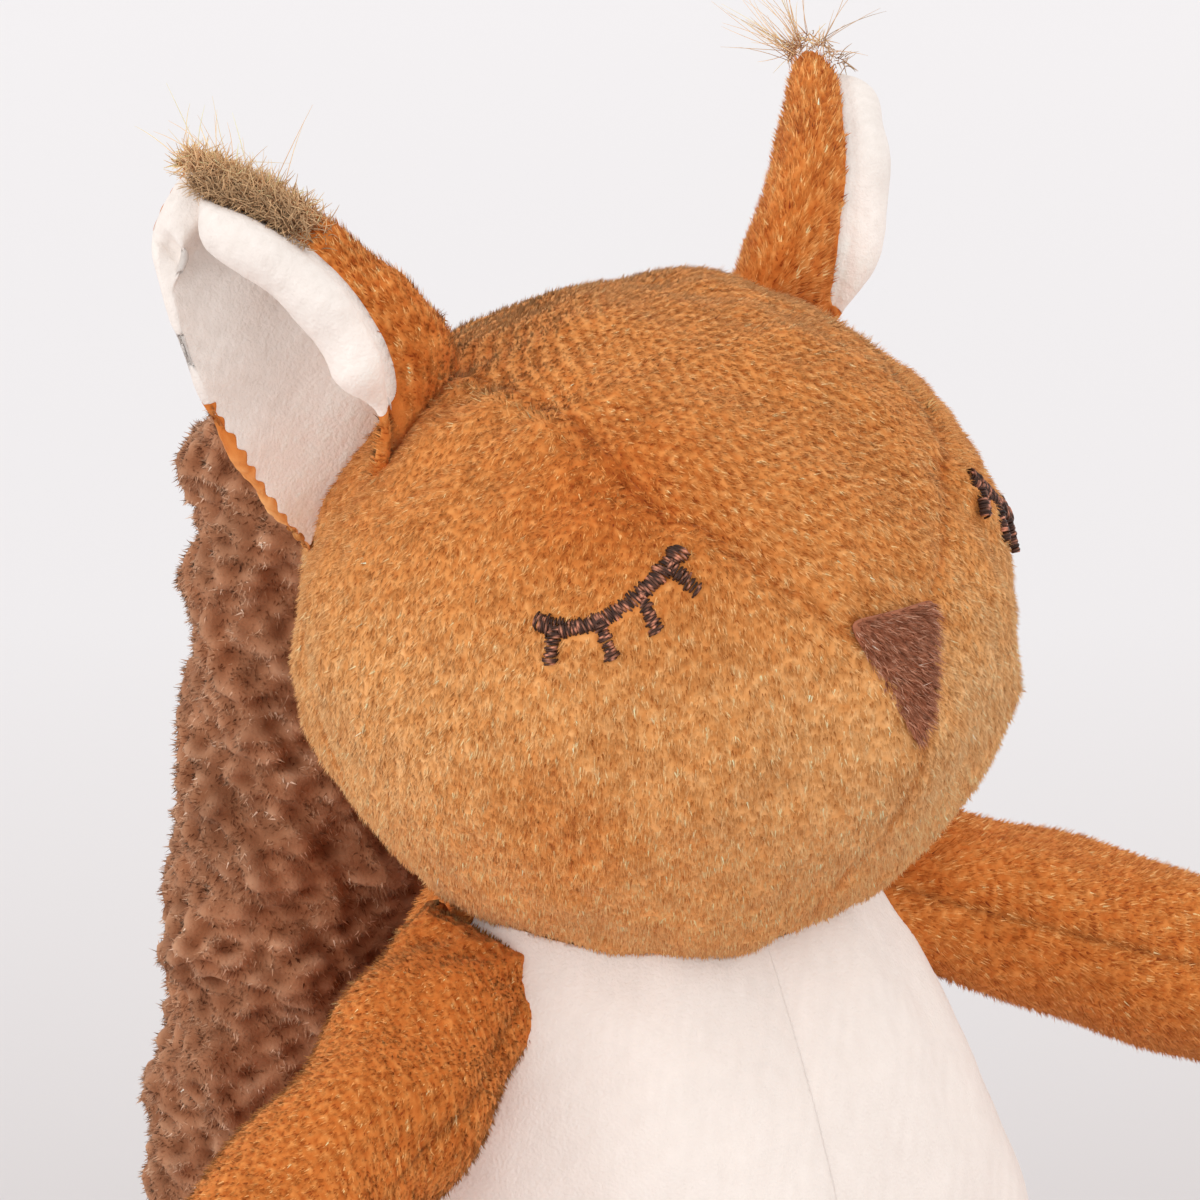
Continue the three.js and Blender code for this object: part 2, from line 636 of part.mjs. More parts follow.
function torsoPanels() {
  const make = (inset, coarse) => torsoForm(inset, coarse).subtract(headRoom(ROOT_GAP + inset));
  const { skin, fill } = stuffed(make);
  const plug = plugHollow();
  const hollow = skin.subtract(plug);
  const [wall, seat] = split(hollow, new THREE.Vector3(0, 0, SEAT_SEAM_AT), Z);
  const [back, belly] = split(wall, new THREE.Vector3(), Y);
  const [bellyLeft, bellyRight] = split(belly, new THREE.Vector3(), X);
  const [backLeft, backRight] = split(back, new THREE.Vector3(), X);
  return { seat, bellyLeft, bellyRight, backLeft, backRight, fill: fill.subtract(plug) };
}

function fabric(color, roughness) {
  return new THREE.MeshStandardMaterial({ color, roughness, metalness: 0 });
}

const russet = fabric(0xc27a3c, 0.95);
const tan = fabric(0xd09050, 0.95);
const cream = fabric(0xf0e4da, 0.95);
const fleece = fabric(0x8b6448, 1);
const noseBrown = fabric(0x6f4538, 0.95);
const thread = fabric(0x40291f, 0.6);
const fur = fabric(0x9b7d5c, 0.9);
const wadding = fabric(0xf4f2ec, 1);

// A body is a group at its pivot, with its hinge and its range in degrees.
// Its pieces lie about that pivot.
function body(parent, pivot, hinge, range) {
  const group = new THREE.Group();
  parent.add(group);
  parent.updateWorldMatrix(true, false);
  group.position.copy(parent.worldToLocal(pivot.clone()));
  group.userData = { pivot, hinge, range };
  return group;
}

function addPiece(group, name, solid, material) {
  const { vertProperties, triVerts } = solid.getMesh();
  const geometry = new THREE.BufferGeometry();
  geometry.setAttribute('position', new THREE.BufferAttribute(new Float32Array(vertProperties), 3));
  geometry.setIndex(new THREE.BufferAttribute(new Uint32Array(triVerts), 1));
  const { x, y, z } = group.userData.pivot;
  geometry.translate(-x, -y, -z);
  geometry.computeVertexNormals();
  const mesh = new THREE.Mesh(geometry, material);
  mesh.name = name;
  group.add(mesh);
}

const squirrel = new THREE.Group();
const torsoBody = body(squirrel, new THREE.Vector3());
const neckBody = body(torsoBody, neckPivot, Z, TURN_RANGE);
const headBody = body(neckBody, neckPivot, X, NOD_RANGE);

const torso = torsoPanels();
addPiece(torsoBody, 'seat_panel', torso.seat, russet);
addPiece(torsoBody, 'belly_right_panel', torso.bellyRight, cream);
addPiece(torsoBody, 'belly_left_panel', torso.bellyLeft, cream);
addPiece(torsoBody, 'back_right_panel', torso.backRight, russet);
addPiece(torsoBody, 'back_left_panel', torso.backLeft, russet);
addPiece(torsoBody, 'torso_stuffing', torso.fill, wadding);
addPiece(neckBody, 'neck_stuffing', plugForm(PLUG_WIDTH / 2), wadding);

const head = headPanels();
addPiece(headBody, 'head_gusset', head.gusset, tan);
addPiece(headBody, 'head_right_panel', head.right, tan);
addPiece(headBody, 'head_left_panel', head.left, tan);
addPiece(headBody, 'head_back_panel', head.back, tan);
addPiece(headBody, 'head_stuffing', head.fill, wadding);
addPiece(headBody, 'nose_patch', nosePatch(), noseBrown);

const tailParts = tail();
const tailBody = body(torsoBody, tailParts.pivot, tailParts.hinge, TAIL_RANGE);
addPiece(tailBody, 'tail_right_panel', tailParts.right, fleece);
addPiece(tailBody, 'tail_left_panel', tailParts.left, fleece);
addPiece(tailBody, 'tail_stuffing', tailParts.fill, wadding);

for (const [label, side] of [['right', -1], ['left', 1]]) {
  addPiece(headBody, `eye_${label}_embroidery`, eye(side), thread);

  const earParts = ear(side);
  const earBody = body(headBody, earParts.pivot, earParts.hinge, EAR_RANGE);
  addPiece(earBody, `ear_${label}_back`, earParts.back, russet);
  addPiece(earBody, `ear_${label}_lining`, earParts.lining, cream);
  addPiece(earBody, `ear_${label}_tuft`, earParts.tuft, fur);

  const armParts = arm(side);
  const armBody = body(torsoBody, armParts.pivot, armParts.hinge, ARM_RANGE);
  addPiece(armBody, `arm_${label}_top_panel`, armParts.top, russet);
  addPiece(armBody, `arm_${label}_under_panel`, armParts.under, russet);
  addPiece(armBody, `arm_${label}_stuffing`, armParts.fill, wadding);

  const legParts = leg(side);
  const legBody = body(torsoBody, legParts.pivot, legParts.hinge, LEG_RANGE);
  addPiece(legBody, `leg_${label}_outer_panel`, legParts.outer, russet);
  addPiece(legBody, `leg_${label}_inner_panel`, legParts.inner, russet);
  addPiece(legBody, `leg_${label}_stuffing`, legParts.fill, wadding);
}

export default squirrel;
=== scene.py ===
"""A seated plush squirrel: sewn plush panels over stuffing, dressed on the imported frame."""

import json
import math

import bmesh
import bpy
import numpy as np
from mathutils import Matrix


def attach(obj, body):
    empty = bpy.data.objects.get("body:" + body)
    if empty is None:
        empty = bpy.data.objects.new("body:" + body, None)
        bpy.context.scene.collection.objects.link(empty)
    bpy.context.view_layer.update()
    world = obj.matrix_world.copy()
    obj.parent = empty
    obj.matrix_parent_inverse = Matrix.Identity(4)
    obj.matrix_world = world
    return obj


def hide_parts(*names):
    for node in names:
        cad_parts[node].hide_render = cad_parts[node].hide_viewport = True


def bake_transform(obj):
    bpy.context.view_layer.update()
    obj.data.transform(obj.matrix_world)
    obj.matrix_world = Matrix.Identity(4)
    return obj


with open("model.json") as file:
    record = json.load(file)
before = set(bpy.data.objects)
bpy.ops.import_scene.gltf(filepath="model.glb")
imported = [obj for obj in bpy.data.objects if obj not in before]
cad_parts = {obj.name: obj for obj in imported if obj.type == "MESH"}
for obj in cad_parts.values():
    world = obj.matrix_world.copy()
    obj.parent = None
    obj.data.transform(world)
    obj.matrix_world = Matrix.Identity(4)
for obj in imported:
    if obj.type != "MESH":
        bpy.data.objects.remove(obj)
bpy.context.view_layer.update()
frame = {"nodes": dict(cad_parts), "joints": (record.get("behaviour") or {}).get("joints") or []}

bl_info = {
    "name": "Plush squirrel",
    "version": (1, 0, 0),
    "blender": (4, 5, 0),
    "location": "View3D > Sidebar > Squirrel",
    "description": "Sews, stuffs and lights a seated plush squirrel on its packed frame",
    "category": "Object",
}

MM = 0.001
SIDES = (("right", -1.0), ("left", 1.0))
X = np.array([1.0, 0.0, 0.0])
Y = np.array([0.0, 1.0, 0.0])
Z = np.array([0.0, 0.0, 1.0])
MOST_TUFTS = 66000
FLOOR_ROOM = 0.15
# Painted shade on the floor: darker towards the camera, paler in this direction away from it
FLOOR_SHADE_FADES_TOWARDS = (0.643, 0.766, 0.0)
PILE_DEPTH = 0.45
MOST_SINK = 1.6

# Sizes of the solids in millimetres, as in the part's source
TORSO_FLAT = 77 / 96
FLANK = np.array([[48, 34], [48, 62], [36, 84], [22, 104]], float)
HAUNCH = np.array([[35, 0], [48, 0], [48, 34]], float)
SEAT_SEAM_AT = 3.4
HEAD_MIDDLE = np.array([0.0, -2.0, 128.0])
HEAD_HALF = np.array([38.0, 37.2, 35.5])
MUZZLE_REACH = 5.0
MUZZLE_HALF_WIDTH = 9.0
MUZZLE_HALF_HEIGHT = 10.0
MUZZLE_DROP = 5.0
HEAD_BACK_SEAM = 17.0
HEAD_BACK_LEAN = 0.35
GUSSET_LEAN = math.radians(36.87)
ROW_PITCH = 1.08
GUSSET_EDGE = np.array([[5.6, -24], [15.5, -10.8], [20.4, 4], [20.4, 74.4]], float)
NECK_PIVOT = np.array([0.0, -2.0, 95.0])
NECK_LUMP = 17.0
NOSE_HALF = 6.0
NOSE_TOP = 9.6
NOSE_HEIGHT = 11.6
NOSE_SHIFT = -2.0
CHIN_DART = np.array([[25.3, -18.9, -19.5], [19.5, -14.6, -27.1]])
EYE_ARC = np.array([[30.8, 17.7], [40.6, 13.6], [54.1, 29.9]])
STITCH_PITCH = 0.17
LASHES = ((0.16, -0.5, -5.8), (0.48, 2.2, -6.0), (0.74, 2.7, -6.0), (0.92, 4.7, -4.4))
EAR_INNER_END = (27.3, 53.9)
EAR_OUTER_END = (41.2, 9.7)
EAR_LINES = np.array([
    [[2, -8.5, 9.5], [13.5, -18.5, 8.5], [30.5, -17.5, 4.5]],
    [[1, -14.5, 0.5], [13.5, -18.5, 2], [32.5, -17.5, 1]],
    [[2, -1, 1], [17.5, -8.5, 3.5], [33, -13, 3]],
    [[1, 11.5, 4], [19, -1, 13], [30.5, -11.5, 6.5]]])
EAR_REACH = 0.94
ARM_AIM = (16.0, -21.0)
ARM_LENGTH = 62.0
ARM_DROOP = 5.0
ARM_WIDTHS = (17.0, 20.0, 18.4)
ARM_SEAM_TILT = 3.0
LEG_PLACES = ((-8, 19), (18, 12.9), (43, 12.9), (60, 38.4))
LEG_WIDTHS = (24.0, 25.0, 23.0)
LEG_FLOOR = 0.4
TAIL_PLACES = ((-6, -4), (15.5, 10), (14.5, 60), (13.5, 127))
TAIL_WIDTHS = (50.0, 42.0, 31.0)
TAIL_THICKS = (28.0, 30.0, 24.0)
LIMB_TUCK = 8.0
ARM_LIMITS = (25.0, 0.0)
TAIL_LIMITS = (-1.0, 0.0)
HEAD_ROOM = 1.0
WADDING_INSET = 2.2
TAIL_WADDING_INSET = 3.8
LEG_WADDING_FLOOR = 4.2


def joint_of(name):
    """Place in millimetres and axis of a joint of the frame."""
    found = next(j for j in frame["joints"] if j["name"] == name)
    return np.array(found["pos_m"], float) / MM, np.array(found["axis"], float)


def unit(v):
    return v / np.maximum(np.linalg.norm(v, axis=-1, keepdims=True), 1e-12)


def linear(colour):
    """Linear light of a colour as a screen shows it."""
    c = np.asarray(colour[:3], float)
    return np.where(c <= 0.04045, c / 12.92, ((c + 0.055) / 1.055) ** 2.4)


def smooth_step(low, high, x):
    t = np.clip((x - low) / (high - low), 0, 1)
    return t * t * (3 - 2 * t)


def swell(points, length, seed, count=8):
    """Smooth random swell over points, of about this length: its height and its slope, each of size about 1."""
    rng = np.random.default_rng(seed)
    way = unit(rng.normal(size=(count, 3))) * (2 * math.pi / length)
    way *= rng.uniform(0.7, 1.4, (count, 1))
    phase = points @ way.T + rng.uniform(0, 2 * math.pi, count)
    size = math.sqrt(2 / count)
    return size * np.sin(phase).sum(1), size * length / (2 * math.pi) * (np.cos(phase) @ way)


def waves(points, length, seed):
    return swell(points, length, seed)[0]


def through(a, b, c, u):
    """The quadratic that takes the values a, b and c at 0, a half and 1."""
    return a * (1 - u) * (1 - 2 * u) + 4 * b * u * (1 - u) + c * u * (2 * u - 1)


def bezier(ends, t):
    """Points on a Bezier curve of any degree."""
    ends = np.asarray(ends, float)
    degree = len(ends) - 1
    t = np.asarray(t, float)[:, None]
    shares = [math.comb(degree, i) * t ** i * (1 - t) ** (degree - i) for i in range(degree + 1)]
    return sum(share * end for share, end in zip(shares, ends))


def spline(places, per_span, centripetal):
    """Points on a Catmull-Rom curve through places."""
    p = np.asarray(places, float)
    if centripetal:
        p = np.vstack([2 * p[0] - p[1], p, 2 * p[-1] - p[-2]])
    else:
        p = np.vstack([p[0], p, p[-1]])
    t = np.linspace(0, 1, per_span, endpoint=False)[:, None]
    runs = []
    for a, b, c, d in zip(p, p[1:], p[2:], p[3:]):
        if centripetal:
            ab, bc, cd = (math.sqrt(np.linalg.norm(e - s)) for s, e in ((a, b), (b, c), (c, d)))
            start = ((b - a) / ab - (c - a) / (ab + bc) + (c - b) / bc) * bc
            end = ((c - b) / bc - (d - b) / (bc + cd) + (d - c) / cd) * bc
        else:
            start, end = (c - a) / 2, (d - b) / 2
        runs.append(b + start * t + (3 * (c - b) - 2 * start - end) * t ** 2
                    + (2 * (b - c) + start + end) * t ** 3)
    return np.vstack(runs + [p[-2:-1]])


def turned(v, axis, degrees):
    """Vectors turned about an axis through the origin."""
    a = math.radians(degrees)
    axis = unit(np.asarray(axis, float))
    v = np.asarray(v, float)
    along = (v @ axis)[..., None] * axis
    return v * math.cos(a) + np.cross(axis, v) * math.sin(a) + along * (1 - math.cos(a))


def head_direction(side, ahead, up):
    """Direction on the head at angles in degrees: from the side towards the front, and up."""
    ahead, up = np.radians(ahead), np.radians(up)
    return np.stack([side * np.cos(up) * np.cos(ahead), -np.cos(up) * np.sin(ahead), np.sin(up)], -1)


def muzzle(across, up):
    """How far the muzzle stands forward, at places about the middle of the head."""
    return MUZZLE_REACH * np.exp(-(across / MUZZLE_HALF_WIDTH) ** 2 - ((up + MUZZLE_DROP) / MUZZLE_HALF_HEIGHT) ** 2)


def head_at(direction, rise=0.0):
    """Points on the head in these directions, raised off its surface."""
    p = direction * (HEAD_HALF + rise)
    p[..., 1] -= np.where(p[..., 1] < 0, muzzle(p[..., 0], p[..., 2]), 0)
    return p + HEAD_MIDDLE


def head_distance(points):
    """About how far points lie outside the head, and the direction out of it."""
    rel = points - HEAD_MIDDLE
    rel = rel.copy()
    rel[:, 1] += np.where(rel[:, 1] < 0, muzzle(rel[:, 0], rel[:, 2]), 0)
    q = rel / HEAD_HALF
    size = np.linalg.norm(q, axis=1)
    slope = q / HEAD_HALF
    return (size - 1) * size / np.linalg.norm(slope, axis=1), unit(slope)


def torso_profile():
    """Heights and half-widths of the torso's side, from the seat up to the neck."""
    low = bezier(HAUNCH, np.linspace(0, 1, 60))
    high = bezier(FLANK, np.linspace(0, 1, 160))[1:]
    side = np.vstack([low, high])
    return side[:, 1], side[:, 0]


def torso_distance(points):
    """About how far points lie outside the torso."""
    heights, halves = torso_profile()
    girth = np.hypot(points[:, 0], points[:, 1] / TORSO_FLAT)
    return np.minimum((girth - np.interp(points[:, 2], heights, halves)) * 0.85, 200)


def vertex_normals(points, tris):
    a, b, c = points[tris[:, 0]], points[tris[:, 1]], points[tris[:, 2]]
    face = np.cross(b - a, c - a)
    total = np.zeros_like(points)
    for i in range(3):
        for k in range(3):
            total[:, k] += np.bincount(tris[:, i], face[:, k], len(points))
    return unit(total)


def ball(level):
    """Directions and triangles of an even round ball."""
    mesh = bmesh.new()
    bmesh.ops.create_icosphere(mesh, subdivisions=level, radius=1.0)
    points = np.array([v.co[:] for v in mesh.verts])
    tris = np.array([[v.index for v in f.verts] for f in mesh.faces])
    mesh.free()
    return unit(points), tris


def grid_tris(rows, columns, closed):
    """Triangles of a grid of points, row by row; closed joins the last column to the first."""
    r, c = np.meshgrid(np.arange(rows - 1), np.arange(columns if closed else columns - 1), indexing="ij")
    a = (r * columns + c).ravel()
    b = (r * columns + (c + 1) % columns).ravel()
    return np.vstack([np.stack([a, b, b + columns], 1), np.stack([a, b + columns, a + columns], 1)])


def tube(path, size_at, reference, spacing):
    """A round closed limb along a path with a rounded end: points and triangles."""
    steps = np.linalg.norm(np.diff(path, axis=0), axis=1)
    run = np.concatenate([[0], np.cumsum(steps)])
    length = run[-1]
    tip = size_at(1.0)[0]
    straight = 1 - tip / length
    rows = int(straight * length / spacing)
    places = [(straight * i / rows, 1.0) for i in range(rows + 1)]
    cap_rows = int(tip * 1.5 / spacing)
    for i in range(1, cap_rows + 1):
        angle = math.pi / 2 * min(i / cap_rows, 0.985)
        places.append((straight + tip * math.sin(angle) / length, math.cos(angle)))
    columns = int(2 * math.pi * max(size_at(0.5)) / spacing)
    turn = 2 * math.pi * np.arange(columns) / columns
    slope = np.gradient(path, run, axis=0)
    rings = []
    for u, shrink in places:
        at = np.array([np.interp(u * length, run, path[:, k]) for k in range(3)])
        ahead = unit(np.array([np.interp(u * length, run, slope[:, k]) for k in range(3)]))
        across = unit(np.cross(ahead, reference))
        upward = np.cross(across, ahead)
        wide, high = size_at(u)
        rings.append(at + shrink * (wide * np.cos(turn)[:, None] * across + high * np.sin(turn)[:, None] * upward))
    points = np.vstack(rings)
    tris = grid_tris(len(places), columns, True)
    end = len(points) - columns
    middle = points[end:].mean(0)
    points = np.vstack([points, middle, points[:columns].mean(0)])
    last = np.arange(columns)
    fan = np.stack([end + last, end + (last + 1) % columns, np.full(columns, len(points) - 2)], 1)
    root = np.stack([(last + 1) % columns, last, np.full(columns, len(points) - 1)], 1)
    tris = np.vstack([tris, fan, root])
    return points, outward(points, tris)


def outward(points, tris):
    """The same triangles, all turned so that a closed form's normals point out."""
    a, b, c = (points[tris[:, i]] - points.mean(0) for i in range(3))
    return tris if np.einsum("ij,ij->i", a, np.cross(b, c)).sum() > 0 else tris[:, ::-1]


def cut(skin, tris, value):
    """The part of a skin where value is above 0, trimmed along the line where it is 0."""
    value = np.where(np.abs(value) < 1e-4, 1e-4, value)
    keep = value > 0
    count = keep[tris].sum(1)
    one, two = tris[count == 1], tris[count == 2]

    def lone_first(t, lone):
        turn = (np.argmax(lone[t], 1)[:, None] + np.arange(3)) % 3
        return np.take_along_axis(t, turn, 1)

    one, two = lone_first(one, keep), lone_first(two, ~keep)
    edges = np.vstack([one[:, [0, 1]], one[:, [0, 2]], two[:, [0, 1]], two[:, [0, 2]]])
    edges = np.sort(edges, axis=1)
    ends, place = np.unique(edges, axis=0, return_inverse=True)
    place = place.ravel() + len(skin)
    share = (value[ends[:, 0]] / (value[ends[:, 0]] - value[ends[:, 1]]))[:, None]
    made = skin[ends[:, 0]] * (1 - share) + skin[ends[:, 1]] * share
    n1, n2 = len(one), len(two)
    ab1, ac1 = place[:n1], place[n1:2 * n1]
    ab2, ac2 = place[2 * n1:2 * n1 + n2], place[2 * n1 + n2:]
    pieces = [tris[count == 3], np.stack([one[:, 0], ab1, ac1], 1),
              np.stack([ab2, two[:, 1], two[:, 2]], 1), np.stack([ab2, two[:, 2], ac2], 1)]
    skin = np.vstack([skin, made])
    return tidy(skin, np.vstack(pieces))


def tidy(skin, tris):
    """A skin without the points that no triangle uses."""
    used, tris = np.unique(tris, return_inverse=True)
    return skin[used], tris.reshape(-1, 3)


def thick(skin, tris, depth):
    """Points and triangles of a fabric of some depth under a skin of points and normals."""
    points, normals = skin[:, :3], skin[:, 3:6]
    n = len(points)
    edges = np.vstack([tris[:, [0, 1]], tris[:, [1, 2]], tris[:, [2, 0]]])
    _, back, count = np.unique(np.sort(edges, axis=1), axis=0, return_inverse=True, return_counts=True)
    rim = edges[count[back.ravel()] == 1]
    walls = [np.stack([rim[:, 1], rim[:, 0], rim[:, 0] + n], 1),
             np.stack([rim[:, 1], rim[:, 0] + n, rim[:, 1] + n], 1)]
    return np.vstack([points, points - normals * depth]), np.vstack([tris, tris[:, ::-1] + n] + walls)


def mesh_object(name, points, tris, material, colours=None, cells=None, normals=None):
    """A new smooth mesh object from points in millimetres, with a colour, a map place and a normal for each."""
    mesh = bpy.data.meshes.new(name)
    mesh.vertices.add(len(points))
    mesh.vertices.foreach_set("co", (points * MM).astype(np.float32).ravel())
    mesh.loops.add(tris.size)
    mesh.loops.foreach_set("vertex_index", tris.astype(np.int32).ravel())
    mesh.polygons.add(len(tris))
    mesh.polygons.foreach_set("loop_start", np.arange(0, tris.size, 3, dtype=np.int32))
    mesh.polygons.foreach_set("loop_total", np.full(len(tris), 3, np.int32))
    mesh.polygons.foreach_set("use_smooth", np.ones(len(tris), bool))
    mesh.update(calc_edges=True)
    if colours is not None:
        shade = mesh.color_attributes.new("shade", "FLOAT_COLOR", "POINT")
        rows = np.ones((len(points), 4), np.float32)
        rows[:, :3] = colours
        shade.data.foreach_set("color", rows.ravel())
    if cells is not None:
        layer = mesh.uv_layers.new(name="OFBake")
        layer.data.foreach_set("uv", cells[tris.ravel()].astype(np.float32).ravel())
    mesh.validate()
    if normals is not None:
        mesh.normals_split_custom_set_from_vertices(normals.astype(np.float32))
    made = bpy.data.objects.new(name, mesh)
    bpy.context.scene.collection.objects.link(made)
    made.data.materials.append(material)
    return made


class Hold:
    """How a piece follows the frame: it rides on a body; a piece given a second body and a line is left where it
    stands.
    """

    def __init__(self, body, onto=None, start=None, end=None):
        self.body, self.onto, self.start, self.end = body, onto, start, end

    def take(self, piece, slot):
        if self.onto is None:
            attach(piece, self.body)
        else:
            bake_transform(piece)


def add_panel(name, skin, tris, hold, slot, material, depth):
    """One sewn panel in the place of its node, with the shades of its pile outside and of its cloth inside."""
    points, faces = thick(skin, tris, depth / MM)
    shades = np.clip(np.vstack([skin[:, 6:9], skin[:, 6:9] * 0.75]), 0.005, 0.97)
    panel = mesh_object(name + "_cover", points, faces, material, shades)
    hold.take(panel, slot)
    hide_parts(name)
    return panel


def add_wadding(name, points, tris, hold, settings):
    """One lump of stuffing in the place of its node."""
    material = bpy.data.materials.get("wadding") or mottled("wadding", linear(settings.wadding), 0.85, 500)
    points = points + vertex_normals(points, tris) * (0.4 * waves(points, 7, 64))[:, None]
    lump = mesh_object(name.replace("stuffing", "wadding"), points, tris, material)
    hold.take(lump, "stuffing")
    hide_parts(name)


def node_material(name, roughness, sheen, sheen_tint):
    """A new fabric material and its tree, with the even values of its finish set on the shader."""
    material = bpy.data.materials.new(name)
    material.use_nodes = True
    shader = material.node_tree.nodes["Principled BSDF"]
    shader.inputs["Roughness"].default_value = roughness
    shader.inputs["Specular IOR Level"].default_value = 0.2
    shader.inputs["Sheen Weight"].default_value = sheen
    shader.inputs["Sheen Roughness"].default_value = 0.5
    shader.inputs["Sheen Tint"].default_value = (*sheen_tint, 1)
    return material, material.node_tree, shader


def mottled(name, colour, dark, scale, roughness=0.95, sheen=0.0):
    """A backing cloth: mottled between a dark and a full shade, with a fine woven bump."""
    material, tree, shader = node_material(name, roughness, sheen, colour)
    place = tree.nodes.new("ShaderNodeTexCoord")
    noise = tree.nodes.new("ShaderNodeTexNoise")
    noise.inputs["Scale"].default_value = scale
    noise.inputs["Detail"].default_value = 4
    ramp = tree.nodes.new("ShaderNodeValToRGB")
    ramp.color_ramp.elements[0].position = 0.3
    ramp.color_ramp.elements[0].color = (*(np.asarray(colour) * dark), 1)
    ramp.color_ramp.elements[1].position = 0.7
    ramp.color_ramp.elements[1].color = (*colour, 1)
    bump = tree.nodes.new("ShaderNodeBump")
    bump.inputs["Strength"].default_value = 0.4
    bump.inputs["Distance"].default_value = 0.0003
    tree.links.new(place.outputs["Object"], noise.inputs["Vector"])
    tree.links.new(noise.outputs["Fac"], ramp.inputs["Fac"])
    tree.links.new(ramp.outputs["Color"], shader.inputs["Base Color"])
    tree.links.new(noise.outputs["Fac"], bump.inputs["Height"])
    tree.links.new(bump.outputs["Normal"], shader.inputs["Normal"])
    return material


def fibre(name, tint, roughness=0.9, sheen=0.4):
    """Plush that carries its own shades, with a fine bump of fibre ends."""
    material, tree, shader = node_material(name, roughness, sheen, np.sqrt(tint))
    shade = tree.nodes.new("ShaderNodeVertexColor")
    shade.layer_name = "shade"
    place = tree.nodes.new("ShaderNodeTexCoord")
    noise = tree.nodes.new("ShaderNodeTexNoise")
    noise.inputs["Scale"].default_value = 2600
    noise.inputs["Detail"].default_value = 3
    bump = tree.nodes.new("ShaderNodeBump")
    bump.inputs["Strength"].default_value = 0.5
    bump.inputs["Distance"].default_value = 0.0003
    tree.links.new(shade.outputs["Color"], shader.inputs["Base Color"])
    tree.links.new(place.outputs["Object"], noise.inputs["Vector"])
    tree.links.new(noise.outputs["Fac"], bump.inputs["Height"])
    tree.links.new(bump.outputs["Normal"], shader.inputs["Normal"])
    return material


class Pile:
    """The cut and the look of one pile: millimetres, tufts for each square millimetre, and shades; root darkens the
    tufts' roots with painted shade between them, tip lightens their tips with a painted sheen.
    """

    def __init__(self, density, length, width, lean=1.7, ruffle=0.3, clump=0.5, grain=0.85, stretch=(1, 1, 0.3),
                 rise=0.1, root=0.94, tip=1.06, patch=0.02, spread=0.14, relief=1.0):
        self.density, self.length, self.width = density, length, width
        self.lean, self.ruffle, self.clump = lean, ruffle, clump
        self.grain, self.stretch = grain, np.array(stretch, float)
        self.relief, self.rise = relief, rise
        self.root, self.tip, self.patch, self.spread = root, tip, patch, spread


def plush(points, tris, pile, tint, seed, ridge=0.0):
    """The skin of a plush: points raised by the grain of the pile and its ridges, with normals and shades that carry
    painted shade, darker and fuller in the hollows of the grain and ridges, and painted light, paler on their crests.
    """
    grain = swell(points * pile.stretch, pile.grain, seed, 16)[0]
    relief = pile.relief * np.clip(0.6 * grain * (1 - 0.6 * np.abs(ridge)) + ridge, -1.6, 1.6)
    tone = pile.patch * (waves(points, 14, seed + 2) + waves(points, 4, seed + 3))
    # Painted shade and light of the pile: hollows of grain and ridges darker and fuller, crests paler; tone is a random
    # tone of the cloth
    shade = tint ** (1 - 0.16 * relief)[:, None] * (1 + tone + 0.09 * relief)[:, None]
    points = points + vertex_normals(points, tris) * (pile.rise * relief)[:, None]
    return np.hstack([points, vertex_normals(points, tris), shade])


def sown(rng, skin, tris, density):
    """Points spread evenly at random over a skin, with all its columns."""
    a, b, c = skin[tris[:, 0]], skin[tris[:, 1]], skin[tris[:, 2]]
    area = np.linalg.norm(np.cross(b[:, :3] - a[:, :3], c[:, :3] - a[:, :3]), axis=1) / 2
    total = int(area.sum() * density)
    pick = np.searchsorted(np.cumsum(area), rng.uniform(0, area.sum(), total))
    pick = np.minimum(pick, len(tris) - 1)
    s, t = rng.uniform(size=(2, total, 1))
    fold = s + t > 1
    s, t = np.where(fold, 1 - s, s), np.where(fold, 1 - t, t)
    return a[pick] + s * (b[pick] - a[pick]) + t * (c[pick] - a[pick])


def everywhere(points):
    """Which tufts are kept, and how upright each stands."""
    none = np.zeros(len(points))
    return none == 0, none


